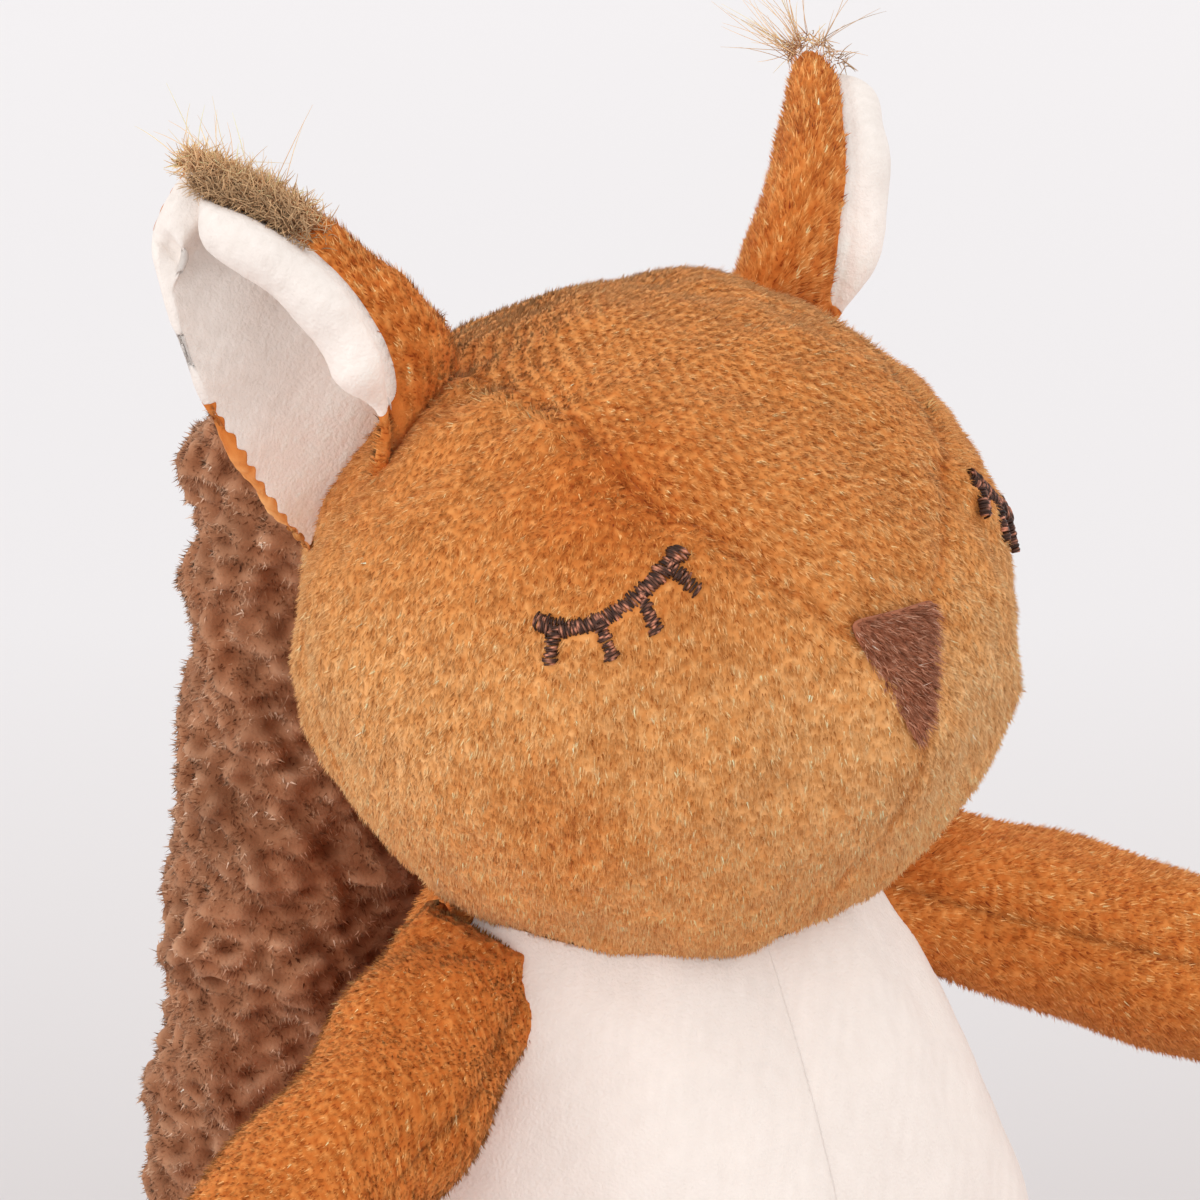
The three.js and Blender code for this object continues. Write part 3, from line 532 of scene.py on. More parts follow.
def grow(name, skin, tris, pile, nap, hold, slot, material, seed, look=everywhere):
    """Short tufts over a plush skin, in its shades, with painted shade at their roots, a painted sheen at their tips
    and painted light on the crests of the grain. nap gives the lay at points.
    """
    rng = np.random.default_rng(seed)
    spots = sown(rng, skin, tris, pile.density * (1.0))
    keep, stand = look(spots[:, :3])
    spots, stand = spots[keep], stand[keep, None]
    points, normals = spots[:, :3], unit(spots[:, 3:6])
    count = len(points)
    lay = nap(points)
    lay = unit(lay - (lay * normals).sum(1, keepdims=True) * normals) * pile.lean * (1 - 0.75 * stand)
    height, slope = swell(points * pile.stretch, pile.grain, seed, 16)
    along = unit(normals + lay + pile.clump * slope + rng.normal(size=(count, 3)) * pile.ruffle)
    length = pile.length * rng.uniform(0.7, 1.2, (count, 1)) * (1 + 0.6 * stand)
    width = pile.width * rng.uniform(0.75, 1.25, (count, 1)) * 1.0
    across = unit(np.cross(along, normals) + 0.1 * rng.normal(size=(count, 3)))
    top = unit(np.cross(across, along))
    foot = points - 0.12 * normals
    corners = [foot + width / 2 * across, foot - width / 2 * across, foot + width / 4 * top, points + along * length]
    facings = [unit(normals + way) for way in (0.3 * across, -0.3 * across, 0.2 * top, 0.2 * along)]
    # The height term is painted light and shade: tufts on crests of the grain paler, in its hollows darker; the rest is
    # a random tone
    tone = rng.normal(size=(count, 1)) * pile.spread + 0.1 * pile.relief * height[:, None]
    body = spots[:, 6:9] ** (1 - tone) * (1 + 0.8 * tone + 0.2 * stand)
    # Painted shade darkens the roots between the tufts, and a painted sheen lightens their tips
    shades = [body * pile.root] * 3 + [body * pile.tip]
    pieces = max(1, math.ceil(count / MOST_TUFTS))
    order = np.argsort(points[:, 2] + points[:, 1]) if pieces > 1 else np.arange(count)
    for i, part in enumerate(np.array_split(order, pieces)):
        title = f"{name}_{i + 1}" if pieces > 1 else name
        where, shade, facing = (np.stack([c[part] for c in group], 1).reshape(-1, 3)
                                for group in (corners, shades, facings))
        where[:, 2] = np.maximum(where[:, 2], FLOOR_ROOM)
        first = 4 * np.arange(len(part))[:, None]
        faces = np.vstack([first + t for t in ([0, 3, 2], [2, 3, 1], [1, 3, 0])])
        shade = np.clip(shade, 0.005, 0.97)
        piece = mesh_object(title, where, faces, material, shade, tuft_cells(len(part)), facing)
        hold.take(piece, slot)


def tuft_cells(count):
    """Map places of tufts of four points: a small cell of its own for each, its tip at the top."""
    columns = math.ceil(math.sqrt(count * 2))
    lines = math.ceil(count / columns)
    spot = np.arange(count)
    left, low = (spot % columns) / columns, (spot // columns) / lines
    w, h = 1 / columns, 1 / lines
    corner = [(0.1, 0.1), (0.9, 0.1), (0.5, 0.15), (0.5, 0.9)]
    return np.stack([np.stack([left + x * w, low + y * h], 1) for x, y in corner], 1).reshape(-1, 2)


def seam(distance, settings):
    """How deep a seam pulls the plush in, at a distance from it in millimetres."""
    groove = np.exp(-(distance / (settings.seam_width / MM)) ** 2)
    pull = np.exp(-(distance / (settings.seam_pull / MM)) ** 2)
    return settings.seam_depth / MM * (0.55 * groove + 0.45 * pull)


def gusset_value(points):
    """How far points lie inside the head gusset's edge; below 0 outside it."""
    rel = points - HEAD_MIDDLE
    c, s = math.cos(GUSSET_LEAN), math.sin(GUSSET_LEAN)
    back = rel[:, 1] * c + rel[:, 2] * s
    up = -rel[:, 1] * s + rel[:, 2] * c
    edge = spline(GUSSET_EDGE, 40, False)
    half = np.interp(back, edge[:, 1], edge[:, 0])
    slope = np.interp(back, edge[:, 1], np.gradient(edge[:, 0], edge[:, 1]))
    inside = (half - np.abs(rel[:, 0])) / np.sqrt(1 + slope ** 2)
    return np.minimum(np.minimum(inside, up), back - GUSSET_EDGE[0, 1])


def back_value(points):
    """How far points lie behind the seam of the head's back panel."""
    normal = unit(np.array([0, 1, -HEAD_BACK_LEAN]))
    return (points - HEAD_MIDDLE - HEAD_BACK_SEAM * Y) @ normal


def head_skin(settings):
    """The whole head: points, triangles and its seams' values."""
    directions, tris = ball(7)
    points = head_at(directions)
    tris = outward(points, tris)
    normals = vertex_normals(points, tris)
    back, gusset = back_value(points), gusset_value(points)
    depth = seam(np.abs(back), settings)
    front = smooth_step(1.5, -1.5, back)
    depth = np.maximum(depth, seam(np.abs(gusset), settings) * front)
    cheeks = smooth_step(1.0, -1.0, gusset) * front
    depth = np.maximum(depth, seam(np.abs(points[:, 0]), settings) * cheeks)
    depth = np.maximum(depth, 0.8 * seam(dart_distance(points), settings))
    lumps = 0.35 * waves(points, 17, 11) + 0.15 * waves(points, 7, 12)
    points = points - normals * np.minimum(depth + PILE_DEPTH - lumps, MOST_SINK)[:, None]
    return points, tris, back, gusset


def dart_distance(points):
    """How far points lie from the two short darts under the cheeks."""
    rel = np.abs(points - HEAD_MIDDLE) * [1, 0, 0] + (points - HEAD_MIDDLE) * [0, 1, 1]
    start, end = CHIN_DART
    share = np.clip((rel - start) @ (end - start) / ((end - start) @ (end - start)), 0, 1)
    return np.linalg.norm(rel - start - share[:, None] * (end - start), axis=1)


def head_nap(points):
    """The pile lies down the cheeks, and down the gusset towards the nose."""
    gusset = smooth_step(-2, 2, gusset_value(points))[:, None]
    return -Z * (1 - gusset) + gusset * np.array([0.35, -0.75, -0.55])


def combed(way):
    """A pile that lies one way all over."""
    return lambda points: np.tile(way, (len(points), 1))


class SquirrelSettings(bpy.types.PropertyGroup):
    """Sizes and colours of the squirrel that a user would change."""

    fabric: bpy.props.FloatProperty(
        name="Fabric", description="Depth of the sewn plush without its pile", default=0.0011, unit="LENGTH")
    seam_depth: bpy.props.FloatProperty(
        name="Seam depth", description="How far a seam pulls the plush in", default=0.0009, unit="LENGTH")
    seam_width: bpy.props.FloatProperty(
        name="Seam width", description="Half width of the groove along a seam", default=0.0011, unit="LENGTH")
    seam_pull: bpy.props.FloatProperty(
        name="Seam pull", description="How far from a seam the plush is still drawn in", default=0.0045, unit="LENGTH")
    pile_length: bpy.props.FloatProperty(
        name="Pile length", description="Length of the plush's fibres on the head", default=0.00085, unit="LENGTH")
    pile_width: bpy.props.FloatProperty(
        name="Pile width", description="Width of a tuft of fibres at its root", default=0.0002, unit="LENGTH")
    tan: bpy.props.FloatVectorProperty(
        name="Tan", description="Plush of the head", default=(0.90, 0.62, 0.36), subtype="COLOR_GAMMA")
    russet: bpy.props.FloatVectorProperty(
        name="Russet", description="Plush of the back, the limbs and the ears' backs",
        default=(0.83, 0.475, 0.205), subtype="COLOR_GAMMA")
    cream: bpy.props.FloatVectorProperty(
        name="Cream", description="Plush of the belly and the ears' linings",
        default=(0.97, 0.93, 0.90), subtype="COLOR_GAMMA")
    nose: bpy.props.FloatVectorProperty(
        name="Nose", description="Plush of the nose", default=(0.76, 0.475, 0.35), subtype="COLOR_GAMMA")
    fleece: bpy.props.FloatVectorProperty(
        name="Fleece", description="Curls of the tail", default=(0.62, 0.415, 0.293), subtype="COLOR_GAMMA")
    fur: bpy.props.FloatVectorProperty(
        name="Fur", description="Tips of the ears' tufts", default=(0.97, 0.80, 0.61), subtype="COLOR_GAMMA")
    fur_root: bpy.props.FloatVectorProperty(
        name="Fur roots", description="Roots of the ears' tufts", default=(0.70, 0.49, 0.335), subtype="COLOR_GAMMA")
    thread: bpy.props.FloatVectorProperty(
        name="Thread", description="Stitches of the eyes", default=(0.335, 0.21, 0.16), subtype="COLOR_GAMMA")
    wadding: bpy.props.FloatVectorProperty(
        name="Wadding", description="Fibre of the stuffing", default=(0.95, 0.94, 0.92), subtype="COLOR_GAMMA")
    floor: bpy.props.FloatVectorProperty(
        name="Floor", description="Pale floor and surroundings", default=(0.932, 0.92, 0.924), subtype="COLOR_GAMMA")
    view_turn: bpy.props.FloatProperty(
        name="View turn", description="Camera's angle round the squirrel", default=math.radians(-40), subtype="ANGLE")
    view_rise: bpy.props.FloatProperty(
        name="View rise", description="Camera's angle above level", default=math.radians(18), subtype="ANGLE")
    view_distance: bpy.props.FloatProperty(
        name="View distance", description="Camera to the middle of the head", default=0.62, unit="LENGTH")
    lens: bpy.props.FloatProperty(
        name="Lens", description="Focal length in millimetres on a 36 mm frame", default=179.85)


class SQUIRREL_OT_stage(bpy.types.Operator):
    """Set the camera, the soft lamps and the pale floor"""
    bl_idname = "squirrel.stage"
    bl_label = "Stage"

    def execute(self, context):
        settings = context.scene.squirrel
        scene = context.scene
        scene.view_settings.view_transform = "Standard"
        a, e = settings.view_turn, settings.view_rise
        right = np.array([math.cos(a), math.sin(a), 0])
        up = np.array([-math.sin(a) * math.sin(e), math.cos(a) * math.sin(e), math.cos(e)])
        back = np.array([math.sin(a) * math.cos(e), -math.cos(a) * math.cos(e), math.sin(e)])
        eye = HEAD_MIDDLE * MM + back * settings.view_distance - 5.9 * MM * right + 1.8 * MM * up
        lens = bpy.data.cameras.new("view")
        lens.sensor_fit = "HORIZONTAL"
        lens.sensor_width = 36
        lens.lens = settings.lens
        lens.clip_start = 0.01
        lens.clip_end = 50
        camera = bpy.data.objects.new("view", lens)
        camera.matrix_world = Matrix([[right[i], up[i], back[i], eye[i]] for i in range(3)] + [[0, 0, 0, 1]])
        scene.collection.objects.link(camera)
        scene.camera = camera

        def lamp(name, way, distance, size, power):
            light = bpy.data.lights.new(name, "AREA")
            light.shape = "DISK"
            light.size = size
            light.energy = power
            place = bpy.data.objects.new(name, light)
            ahead = unit(way[0] * right + way[1] * up + way[2] * back)
            side = unit(np.cross(Z, ahead))
            top = np.cross(ahead, side)
            spot = HEAD_MIDDLE * MM + ahead * distance
            place.matrix_world = Matrix([[side[i], top[i], ahead[i], spot[i]] for i in range(3)] + [[0, 0, 0, 1]])
            scene.collection.objects.link(place)

        lamp("key", (0.75, 0.55, 0.8), 1.6, 1.4, 4)
        lamp("fill", (-0.95, -0.05, 0.6), 1.8, 1.6, 13)

        world = bpy.data.worlds.new("studio")
        world.use_nodes = True
        tree = world.node_tree
        sky = tree.nodes["Background"]
        pale = linear(settings.floor)
        sky.inputs["Color"].default_value = (1, 1, 1, 1)
        sky.inputs["Strength"].default_value = 1.0
        seen = tree.nodes.new("ShaderNodeBackground")
        seen.inputs["Color"].default_value = (0.88, 0.86, 0.865, 1)
        seen.inputs["Strength"].default_value = 1.0
        mix = tree.nodes.new("ShaderNodeMixShader")
        path = tree.nodes.new("ShaderNodeLightPath")
        either = tree.nodes.new("ShaderNodeMath")
        either.operation = "MAXIMUM"
        tree.links.new(path.outputs["Is Camera Ray"], either.inputs[0])
        tree.links.new(path.outputs["Is Glossy Ray"], either.inputs[1])
        tree.links.new(either.outputs[0], mix.inputs[0])
        tree.links.new(sky.outputs[0], mix.inputs[1])
        tree.links.new(seen.outputs[0], mix.inputs[2])
        tree.links.new(mix.outputs[0], tree.nodes["World Output"].inputs["Surface"])
        scene.world = world

        half = 6.0
        corners = np.array([[-half, -half, 0], [half, -half, 0], [half, half, 0], [-half, half, 0]]) / MM
        floor = mesh_object("floor", corners, np.array([[0, 1, 2], [0, 2, 3]]), self.floor_material(pale))
        return {"FINISHED"}

    @staticmethod
    def floor_material(pale):
        material, tree, shader = node_material("pale_floor", 0.95, 0.0, pale)
        place = tree.nodes.new("ShaderNodeTexCoord")
        depth = tree.nodes.new("ShaderNodeVectorMath")
        depth.operation = "DOT_PRODUCT"
        depth.inputs[1].default_value = FLOOR_SHADE_FADES_TOWARDS
        noise = tree.nodes.new("ShaderNodeTexNoise")
        noise.inputs["Scale"].default_value = 3
        uneven = tree.nodes.new("ShaderNodeMath")
        uneven.operation = "MULTIPLY_ADD"
        uneven.inputs[1].default_value = 0.06
        # Painted shade: the ramp darkens the floor towards the camera and leaves it pale far behind the squirrel
        ramp = tree.nodes.new("ShaderNodeValToRGB")
        ramp.color_ramp.elements[0].position = 0.12
        ramp.color_ramp.elements[0].color = (*(pale * [0.78, 0.76, 0.75]), 1)
        ramp.color_ramp.elements[1].position = 0.9
        ramp.color_ramp.elements[1].color = (*pale, 1)
        middle = ramp.color_ramp.elements.new(0.42)
        middle.color = (*(pale * 0.925), 1)
        tree.links.new(place.outputs["Object"], noise.inputs["Vector"])
        tree.links.new(place.outputs["Object"], depth.inputs[0])
        tree.links.new(noise.outputs["Fac"], uneven.inputs[0])
        tree.links.new(depth.outputs["Value"], uneven.inputs[2])
        tree.links.new(uneven.outputs["Value"], ramp.inputs["Fac"])
        tree.links.new(ramp.outputs["Color"], shader.inputs["Base Color"])
        return material


class SQUIRREL_OT_head(bpy.types.Operator):
    """Sew the head from its gusset, cheeks and back panel"""
    bl_idname = "squirrel.head"
    bl_label = "Head"

    def execute(self, context):
        settings = context.scene.squirrel
        points, tris, back, gusset = head_skin(settings)
        tan = linear(settings.tan)
        plain = fibre("tan_plush", tan)
        pile = Pile(13, settings.pile_length / MM, settings.pile_width / MM)
        skin = plush(points, tris, pile, head_shade(points, tan), 100, head_ridges(points, gusset))
        hold = Hold("neck", "head", NECK_PIVOT + 10 * Z, NECK_PIVOT + 31 * Z)
        directions, faces = ball(5)
        core = head_at(directions, -1.2 - WADDING_INSET)
        hollow = NECK_PIVOT[2] + NECK_LUMP * smooth_step(24, 16, np.hypot(core[:, 0], core[:, 1] - NECK_PIVOT[1]))
        core[:, 2] = np.maximum(core[:, 2], hollow)
        add_wadding("head_stuffing", core, outward(core, faces), hold, settings)
        side = points[:, 0]
        panels = {
            "head_gusset": np.minimum(gusset, -back),
            "head_right_panel": np.minimum(np.minimum(-gusset, -back), -side),
            "head_left_panel": np.minimum(np.minimum(-gusset, -back), side),
            "head_back_panel": back,
        }
        for i, (name, value) in enumerate(panels.items()):
            cover, faces = cut(skin, tris, value)
            add_panel(name, cover, faces, hold, "tan_plush", plain, settings.fabric)
            look = cheek_look if name in ("head_right_panel", "head_left_panel") else everywhere
            grow(name.replace("_panel", "") + "_pile", cover, faces, pile, head_nap, hold, "tan_plush", plain,
                 100 + 10 * i, look)
        return {"FINISHED"}


def crown_rows(points):
    """Count of the slanting rows of plush over the forehead and the crown."""
    x, y, z = (points - HEAD_MIDDLE).T
    over = 36 * np.arctan2(z, -y)
    return (0.98 * over - 0.195 * x + 0.0068 * x ** 2) / ROW_PITCH + 0.25 * waves(points, 11, 31)


def cheek_rows(points):
    """Count of the nearly level rows of plush over a brow."""
    x, y, z = (points - HEAD_MIDDLE).T
    up = np.arcsin(np.clip(z / HEAD_HALF[2], -1, 1))
    ahead = np.arctan2(-y, np.abs(x))
    return 36 * (up - 0.5 * np.cos(up) * ahead) * 0.894 / ROW_PITCH + 0.25 * waves(points, 11, 32)


def head_ridges(points, gusset):
    """How high points lie on the rows of plush: over the crown, and weaker on the brows."""
    rel = points - HEAD_MIDDLE
    crown = (0.4 + 0.7 * smooth_step(9, 19, rel[:, 2])) * np.cos(2 * math.pi * crown_rows(points))
    bare = np.exp(-(((np.abs(rel) - [22, 19, 22]) / 7) ** 2).sum(1))
    brow = 0.65 * smooth_step(6, 20, rel[:, 2]) * (1 - 0.8 * bare) * np.cos(2 * math.pi * cheek_rows(points))
    return np.where(gusset > 0, crown, brow)


def cheek_look(points):
    """A standing fringe along the gusset, and no tufts under the eye's stitches."""
    rel = points - HEAD_MIDDLE
    fringe = np.exp(-((gusset_value(points) + 1.2) / 1.1) ** 2)
    fringe *= smooth_step(16, 22, rel[:, 2]) * smooth_step(31, 27, rel[:, 2])
    keep = np.ones(len(points), bool)
    near = np.flatnonzero((rel[:, 2] > 0) & (rel[:, 2] < 24) & (rel[:, 1] < -8))
    for line, width in eye_lines(np.sign(points[:, 0].mean())):
        gap = np.linalg.norm(points[near, None] - line[None, ::4], axis=2).min(1)
        keep[near[gap < width / 2 + 0.1]] = False
    return keep, fringe


def head_shade(points, tan):
    """The head's tan, fuller in patches of the brow and the jaw and towards the top, paler along the gusset's fringe,
    with painted shade in the seams and painted light paling the cheeks, the muzzle and the lower face.
    """
    deep = ((-22, -19, 22, 9, 0.36), (-29, -20, -12, 7, 0.26))
    # Painted light: pale patches on the far cheek, the muzzle and the near cheek's side
    pale = ((16, -32, -4, 16, 0.18), (-4, -36, -10, 14, 0.1), (-36, 4, -12, 14, 0.1))
    rel = points - HEAD_MIDDLE
    depth = np.zeros(len(points))
    for sign, patches in ((1, deep), (-1, pale)):
        for x, y, z, size, amount in patches:
            depth += sign * amount * np.exp(-((rel - [x, y, z]) ** 2).sum(1) / size ** 2)
    gusset = gusset_value(points)
    # Painted shade darkens and fills the plush in the seams' grooves
    painted_seam_shade = np.exp(-(back_value(points) / 0.6) ** 2) + 0.6 * np.exp(-((gusset - 0.3) / 0.6) ** 2)
    painted_seam_shade += np.exp(-(rel[:, 0] / 0.5) ** 2) * smooth_step(0.5, -0.5, gusset)
    painted_seam_shade = np.minimum(painted_seam_shade, 1)
    depth += 0.35 * painted_seam_shade
    fringe = np.exp(-((gusset + 1.3) / 0.9) ** 2) * smooth_step(16, 22, rel[:, 2])
    depth += 0.26 * smooth_step(1, 20, rel[:, 2]) - 0.12 * fringe
    # Painted light brightens the lower face
    low = smooth_step(-4, -18, rel[:, 2])
    return tan ** (1 + depth)[:, None] * (1 - 0.2 * depth - 0.15 * painted_seam_shade + 0.13 * low)[:, None]


class SQUIRREL_OT_nose(bpy.types.Operator):
    """Lay the brown nose patch on the muzzle"""
    bl_idname = "squirrel.nose"
    bl_label = "Nose"

    def execute(self, context):
        settings = context.scene.squirrel
        brown = linear(settings.nose)
        skin, tris = nose_skin(brown)
        hold = Hold("head")
        plain = fibre("nose_plush", brown, sheen=0.2)
        add_panel("nose_patch", skin, tris, hold, "nose_plush", plain, settings.fabric)
        pile = Pile(26, 1.5, 0.18, lean=1.6, ruffle=0.25, clump=0.6, stretch=(1, 1, 1), root=0.8, tip=1.12, spread=0.16)
        grow("nose_pile", skin, tris, pile, combed(np.array([0.35, -0.5, -0.8])), hold, "nose_plush", plain, 200)
        return {"FINISHED"}


def nose_skin(brown):
    """The nose: a triangle with soft corners on the muzzle, domed a little above it."""
    n = 44
    x, z = np.meshgrid(np.linspace(-NOSE_HALF - 1, NOSE_HALF + 1, n), np.linspace(-3, NOSE_TOP + 1, n))
    x, z = x.ravel(), z.ravel()
    share = (z - NOSE_TOP) / NOSE_HEIGHT + 1
    lean = NOSE_SHIFT * (1 - share)
    fullness = np.where(x > lean, 0.6, 0.95)
    half = np.where(share > 0, NOSE_HALF * np.abs(share) ** fullness, 2 * NOSE_HALF * share)
    side = (half - np.abs(x - lean)) * 0.87
    top = NOSE_TOP - z
    soft = 0.6
    inside = -soft * np.log(np.exp(-side / soft) * 2 + np.exp(-top / soft)) + 0.3
    y = -HEAD_HALF[1] * np.sqrt(np.maximum(1 - (x / HEAD_HALF[0]) ** 2 - (z / HEAD_HALF[2]) ** 2, 0))
    y -= muzzle(x, z)
    points = np.stack([x, y, z], 1) + HEAD_MIDDLE
    tris = grid_tris(n, n, False)
    normals = vertex_normals(points, tris)
    if normals[:, 1].mean() > 0:
        tris, normals = tris[:, ::-1], -normals
    rise = 0.9 * np.sqrt(np.clip(inside / 2.2, 0, 1)) - 0.2
    points = points + normals * rise[:, None]
    shade = brown * (0.75 + 0.08 * waves(points, 1.2, 21))[:, None]
    return cut(np.hstack([points, vertex_normals(points, tris), shade]), tris, inside)


class SQUIRREL_OT_eyes(bpy.types.Operator):
    """Stitch the two closed eyes with satin stitch"""
    bl_idname = "squirrel.eyes"
    bl_label = "Eyes"

    def execute(self, context):
        settings = context.scene.squirrel
        dark = linear(settings.thread)
        material = self.thread_material(dark)
        for label, side in SIDES:
            points, tris, shades = eye_threads(side, dark)
            name = f"eye_{label}_stitches"
            piece = mesh_object(name, points, tris, material, shades)
            Hold("head").take(piece, "embroidery_thread")
            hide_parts(f"eye_{label}_embroidery")
        return {"FINISHED"}

    @staticmethod
    def thread_material(dark):
        material, tree, shader = node_material("satin_thread", 0.55, 0.0, dark)
        shader.inputs["Specular IOR Level"].default_value = 0.3
        shade = tree.nodes.new("ShaderNodeVertexColor")
        shade.layer_name = "shade"
        tree.links.new(shade.outputs["Color"], shader.inputs["Base Color"])
        return material


def eye_lines(side):
    """Middle lines of one eye's arc and lashes on the head, each with its width."""
    flat = [(bezier(EYE_ARC, np.linspace(0, 1, 200)), 1.8)]
    for at, ahead, up in LASHES:
        start = bezier(EYE_ARC, [at])[0]
        flat.append((start + np.linspace(0, 1, 60)[:, None] * np.array([ahead, up]), 1.4))
    return [(head_at(head_direction(side, line[:, 0], line[:, 1])), width) for line, width in flat]


def eye_threads(side, dark):
    """Satin stitches across the arc and the lashes of one eye: points, triangles and shades with painted glints."""
    rng = np.random.default_rng(41 if side < 0 else 42)
    s = np.linspace(-1, 1, 9)
    paths = []
    for middle, width in eye_lines(side):
        run = np.concatenate([[0], np.cumsum(np.linalg.norm(np.diff(middle, axis=0), axis=1))])
        count = int(run[-1] / STITCH_PITCH)
        for i in range(count + 1):
            at = run[-1] * i / count + 0.06 * rng.normal()
            far, here, near = (np.array([np.interp(at + d, run, middle[:, k]) for k in range(3)]) for d in (-0.3, 0, 0.3))
            up = unit((here - HEAD_MIDDLE) / HEAD_HALF ** 2)
            across = unit(np.cross(near - far, up))
            slant = unit(across + (0.18 + 0.1 * rng.normal()) * unit(near - far))
            half = width / 2 * (1 + 0.17 * rng.normal()) * (0.75 if i in (0, count) else 1)
            lift = 0.5 + 0.06 * rng.normal()
            paths.append(here + slant * (half * s)[:, None] + up * (lift - 0.75 * s ** 4)[:, None])
    tone = np.exp(rng.normal(size=(len(paths), 1, 1)) * 0.3)
    # Painted highlights: each stitch gets a lighter spot at a random place along it
    spot = rng.uniform(-0.8, 0.8, (len(paths), 1))
    painted_glint = rng.uniform(0, 9, (len(paths), 1)) * np.exp(-((s - spot) / 0.28) ** 2)
    return threads(np.array(paths), np.full((len(paths), len(s)), 0.12), dark * (0.55 * tone + painted_glint[:, :, None]), 6)


def threads(paths, radius, shades, sides):
    """Many threads with rounded ends as one mesh: points, triangles and shades."""
    count, steps = paths.shape[:2]
    ahead = unit(np.gradient(paths, axis=1))
    across = unit(np.cross(ahead, [0.31, 0.52, 0.8]))
    other = np.cross(ahead, across)
    turn = 2 * math.pi * np.arange(sides) / sides
    ring = np.cos(turn)[:, None] * across[:, :, None] + np.sin(turn)[:, None] * other[:, :, None]
    rings = (paths[:, :, None] + ring * radius[:, :, None, None]).reshape(count, -1, 3)
    low = paths[:, :1] - ahead[:, :1] * radius[:, :1, None] * 0.6
    high = paths[:, -1:] + ahead[:, -1:] * radius[:, -1:, None] * 0.6
    points = np.concatenate([rings, low, high], 1)
    colours = np.concatenate([np.repeat(shades, sides, 1), shades[:, :1], shades[:, -1:]], 1)
    c = np.arange(sides)
    last = (steps - 1) * sides
    tris = np.vstack([grid_tris(steps, sides, True),
                      np.stack([(c + 1) % sides, c, np.full(sides, steps * sides)], 1),
                      np.stack([last + c, last + (c + 1) % sides, np.full(sides, steps * sides + 1)], 1)])
    tris = outward(points[0], tris)
    starts = points.shape[1] * np.arange(count)[:, None, None]
    return points.reshape(-1, 3), (tris + starts).reshape(-1, 3), np.clip(colours.reshape(-1, 3), 0, 0.98)


class Ear:
    """The folded leaf of one ear: u runs from its base to its tip, v from the inner edge to the outer edge."""

    def __init__(self, side):
        inner = head_at(head_direction(side, -EAR_INNER_END[0], EAR_INNER_END[1]))
        outer = head_at(head_direction(side, -EAR_OUTER_END[0], EAR_OUTER_END[1]))
        self.side = side
        along = unit(outer - inner)
        self.chord = (inner + outer) / 2
        radial = unit((self.chord - HEAD_MIDDLE) / HEAD_HALF)
        self.base = head_at(radial)
        normal = unit(radial / HEAD_HALF)
        self.rise = unit(normal - (normal @ along) * along)
        self.axes = np.stack([self.rise, along, np.cross(along, self.rise) * side])

    def at(self, u, v):
        a, b, c, d = v, v - 1 / 3, v - 2 / 3, v - 1
        shares = (-4.5 * b * c * d, 13.5 * a * c * d, -13.5 * a * b * d, 4.5 * a * b * c)
        places = [share[:, None] * through(*line, u[:, None]) for share, line in zip(shares, EAR_LINES)]
        return self.chord + sum(places) @ self.axes

    def over(self, u, v):
        """The way across the leaf, towards its outer edge."""
        return unit(self.at(u, v + 0.01) - self.at(u, v - 0.01))

    def up(self, u, v):
        """The way along the leaf, towards its tip."""
        return unit(self.at(u + 0.01, v) - self.at(u - 0.01, v))

    def facing(self, u, v):
        """The way out of the leaf on the side of its lining."""
        return unit(np.cross(self.over(u, v), self.up(u, v))) * self.side


